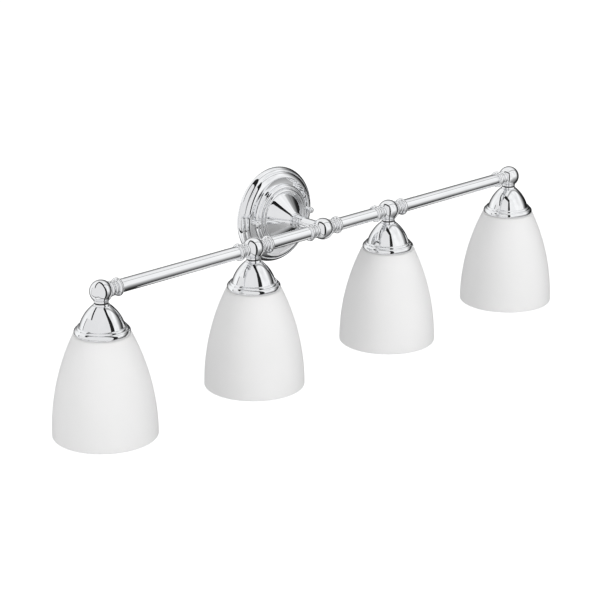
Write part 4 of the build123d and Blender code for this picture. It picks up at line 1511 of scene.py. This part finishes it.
# ---------------------------------------------------------------- studio
def camera_axes(studio):
    """Forward, right and up of the camera."""
    turn, rise = studio.azimuth, studio.elevation
    forward = Vector((math.sin(turn) * math.cos(rise), math.cos(turn) * math.cos(rise), -math.sin(rise)))
    right = Vector((math.cos(turn), -math.sin(turn), 0.0))
    return forward, right, right.cross(forward)


def make_camera(studio):
    """Camera aimed beside and below the centre ball."""
    forward, right, up = camera_axes(studio)
    data = bpy.data.cameras.new("studio_camera")
    data.lens = studio.lens
    data.clip_start, data.clip_end = 0.05, 500.0
    camera = bpy.data.objects.new("studio_camera", data)
    bpy.context.scene.collection.objects.link(camera)
    aim = Vector(bar_place) + right * studio.aim_right + up * studio.aim_up
    rotation = Matrix((right, up, -forward)).transposed().to_4x4()
    camera.matrix_world = Matrix.Translation(aim - forward * studio.distance) @ rotation
    bpy.context.scene.camera = camera


def stage_sheets(name, faces, material, *unseen):
    """Four-cornered sheets of the studio, kept out of some kinds of rays."""
    mesh = bpy.data.meshes.new(name)
    corners = [corner for face in faces for corner in face]
    mesh.from_pydata(corners, [], [tuple(range(4 * i, 4 * i + 4)) for i in range(len(faces))])
    mesh.materials.append(material)
    sheets = bpy.data.objects.new(name, mesh)
    for rays in (*unseen, "diffuse", "transmission", "shadow"):
        setattr(sheets, f"visible_{rays}", False)
    bpy.context.scene.collection.objects.link(sheets)


def make_floor(studio):
    """Plain pale floor well below the shades, seen by the camera only, so metal mirrors the surround."""
    depth = cad_low.z - studio.floor_drop
    size = studio.floor_size
    corners = ((-size, -size, depth), (size, -size, depth), (size, size, depth), (-size, size, depth))
    material, recipe = new_material("studio_floor")
    grain = recipe.noise(3.0, 3.0, 0.5)
    colour = recipe.mix(grain, (0.93, 0.93, 0.93), (0.95, 0.95, 0.95))
    pale = recipe.principled(
        Base_Color=colour, Roughness=0.7 + grain * 0.1, Emission_Color=(1.0, 1.0, 1.0, 1.0),
        Emission_Strength=studio.floor_glow
    )
    clear = recipe.node("ShaderNodeBsdfTransparent")
    below = recipe.node("ShaderNodeNewGeometry", output="Backfacing")
    recipe.finish(recipe.node("ShaderNodeMixShader", None, {0: below, 1: pale, 2: clear}))
    stage_sheets("studio_floor", (corners,), material, "glossy")


def make_lights(studio):
    """Two wide soft lights high on either side of the camera, kept out of mirror reflections."""
    forward, right, _ = camera_axes(studio)
    centre = Vector((0.0, bar_place[1], 0.0))
    for side, power in ((-1.0, studio.left_light), (1.0, studio.right_light)):
        data = bpy.data.lights.new("soft_light", "AREA")
        data.shape = "DISK"
        data.size = studio.light_size
        data.energy = power
        light = bpy.data.objects.new("soft_light", data)
        toward = (Vector((-forward.x, -forward.y, studio.light_rise)) + right * side).normalized()
        light.location = centre + toward * studio.light_distance
        light.rotation_euler = (-toward).to_track_quat("-Z", "Y").to_euler()
        light.visible_glossy = False
        light.visible_camera = False
        bpy.context.scene.collection.objects.link(light)


def make_tent(studio):
    """White reflector in front, to the left and overhead, edged in black, seen only in the mirror metal.

    It is three walls of a box, open to the right, behind and below: a front wall across -Y, a left wall and a
    roof. Each open side ends in a black strip.
    """
    left, right_edge = -studio.tent_left, -studio.tent_right
    front, rear, side = -studio.tent_front, studio.tent_rear, studio.tent_side
    low, top, strip = -studio.tent_low, studio.tent_top, studio.tent_strip
    walls = (
        ((left, front, low), (right_edge, front, low), (right_edge, front, top), (left, front, top)),
        ((left, front, low), (left, side, low), (left, side, top), (left, front, top)),
        ((left, front, top), (right_edge, front, top), (right_edge, rear, top), (left, rear, top)),
    )
    beyond, behind, below = right_edge + strip, rear + strip, low - strip
    strips = (
        ((right_edge, front, below), (beyond, front, below), (beyond, front, top), (right_edge, front, top)),
        ((right_edge, front, top), (beyond, front, top), (beyond, behind, top), (right_edge, behind, top)),
        ((left, rear, top), (right_edge, rear, top), (right_edge, behind, top), (left, behind, top)),
        ((left, front, below), (right_edge, front, below), (right_edge, front, low), (left, front, low)),
        ((left, side, below), (left, side + strip, below), (left, side + strip, top), (left, side, top)),
        ((left, front, below), (left, side, below), (left, side, low), (left, front, low)),
    )
    for name, faces, strength in (("tent_wall", walls, studio.tent_glow), ("tent_edge", strips, 0.0)):
        material, recipe = new_material(name)
        weave = recipe.noise(2.0, 3.0, 0.5)
        glow = recipe.mix(weave, (0.92, 0.92, 0.93), (1.0, 1.0, 1.0))
        recipe.finish(recipe.principled(
            Base_Color=(0.01, 0.01, 0.01, 1.0), Roughness=0.8 + weave * 0.1, Emission_Color=glow,
            Emission_Strength=strength
        ))
        stage_sheets(name, faces, material, "camera")


def make_surround(studio):
    """White studio all round: greyer floor in front, thin seam overhead, dark back and right end.

    The camera itself sees plain white; the zones show only in what mirrors or scatters the surround.
    """
    world = bpy.data.worlds.new("studio_surround")
    bpy.context.scene.world = world
    world.use_nodes = True
    recipe = Recipe(world.node_tree)
    direction = recipe.node("ShaderNodeTexCoord", output="Generated")

    def along(vector):
        settings = {0: direction, 1: tuple(Vector(vector).normalized())}
        return recipe.node("ShaderNodeVectorMath", {"operation": "DOT_PRODUCT"}, settings, output="Value")

    forward, right, _ = camera_axes(studio)
    sky = Vector((0.0, 0.0, 1.0))
    floor_way, seam_way, end_way = (0.35, -0.55, -0.76), (0.0, 0.954, 0.299), (1.0, 0.0, 0.0)
    back_way = forward + right * 0.3 - sky * 0.2
    floor = along(floor_way).above(0.76, 0.34)
    seam = 1 - abs(along(seam_way)).above(0.06, 0.05)
    back = along(back_way).above(0.50, 0.4)
    end = along(end_way).above(0.86, 0.2)
    floor_dark, seam_dark, back_dark, end_dark = 0.7, 0.55, 0.94, 0.7
    mottle = recipe.node("ShaderNodeTexNoise", None, {"Vector": direction, "Scale": 2.6, "Detail": 3.0})
    level = 0.84 + (mottle - 0.5) * 0.5
    for zone, dark in ((floor, floor_dark), (seam, seam_dark), (back, back_dark), (end, end_dark)):
        level = level * (1 - zone * dark)
    seen = recipe.node("ShaderNodeLightPath", output="Is Camera Ray")
    level = (level * (1 - seen) + seen) * studio.brightness
    colour = recipe.node("ShaderNodeCombineColor", None, {0: level * 0.995, 1: level, 2: level * 1.003})
    background = recipe.node("ShaderNodeBackground", None, {"Color": colour, "Strength": 1.0})
    recipe.node("ShaderNodeOutputWorld", None, {"Surface": background})


class LIGHTBAR_OT_studio(Operator):
    """Camera, pale floor, soft lights, reflector and white surround"""

    bl_idname = "light_bar.studio"
    bl_label = "Studio"

    def execute(self, context):
        studio = context.scene.light_bar.studio
        context.scene.view_settings.view_transform = "Standard"
        make_camera(studio)
        make_floor(studio)
        make_lights(studio)
        make_tent(studio)
        make_surround(studio)
        return {"FINISHED"}


STEPS = (
    LIGHTBAR_OT_studio,
    LIGHTBAR_OT_canopy,
    LIGHTBAR_OT_wall_side,
    LIGHTBAR_OT_balls,
    LIGHTBAR_OT_bar,
    LIGHTBAR_OT_arm,
    LIGHTBAR_OT_caps,
    LIGHTBAR_OT_nipples,
    LIGHTBAR_OT_lampholders,
    LIGHTBAR_OT_contacts,
    LIGHTBAR_OT_rings,
    LIGHTBAR_OT_shades,
    LIGHTBAR_OT_leads,
)


class LIGHTBAR_PT_panel(Panel):
    """Buttons that build the light bar step by step"""

    bl_idname = "LIGHTBAR_PT_panel"
    bl_label = "Light bar"
    bl_space_type = "VIEW_3D"
    bl_region_type = "UI"
    bl_category = "Light bar"

    def draw(self, context):
        for step in STEPS:
            self.layout.operator(step.bl_idname)


GROUPS = (
    LightBarMeshing,
    LightBarCanopySizes,
    LightBarTubeSizes,
    LightBarCapSizes,
    LightBarShadeSizes,
    LightBarHolderSizes,
    LightBarFinishes,
    LightBarStudio,
    LightBarSettings,
)


def register():
    """Register settings, operators and panel."""
    for group in (*GROUPS, *STEPS, LIGHTBAR_PT_panel):
        bpy.utils.register_class(group)
    bpy.types.Scene.light_bar = PointerProperty(type=LightBarSettings)


def unregister():
    """Remove settings, operators and panel."""
    del bpy.types.Scene.light_bar
    for group in reversed((*GROUPS, *STEPS, LIGHTBAR_PT_panel)):
        bpy.utils.unregister_class(group)


def main():
    """Build everything in order."""
    register()
    for step in STEPS:
        family, name = step.bl_idname.split(".")
        getattr(getattr(bpy.ops, family), name)()


if __name__ == "__main__":
    main()
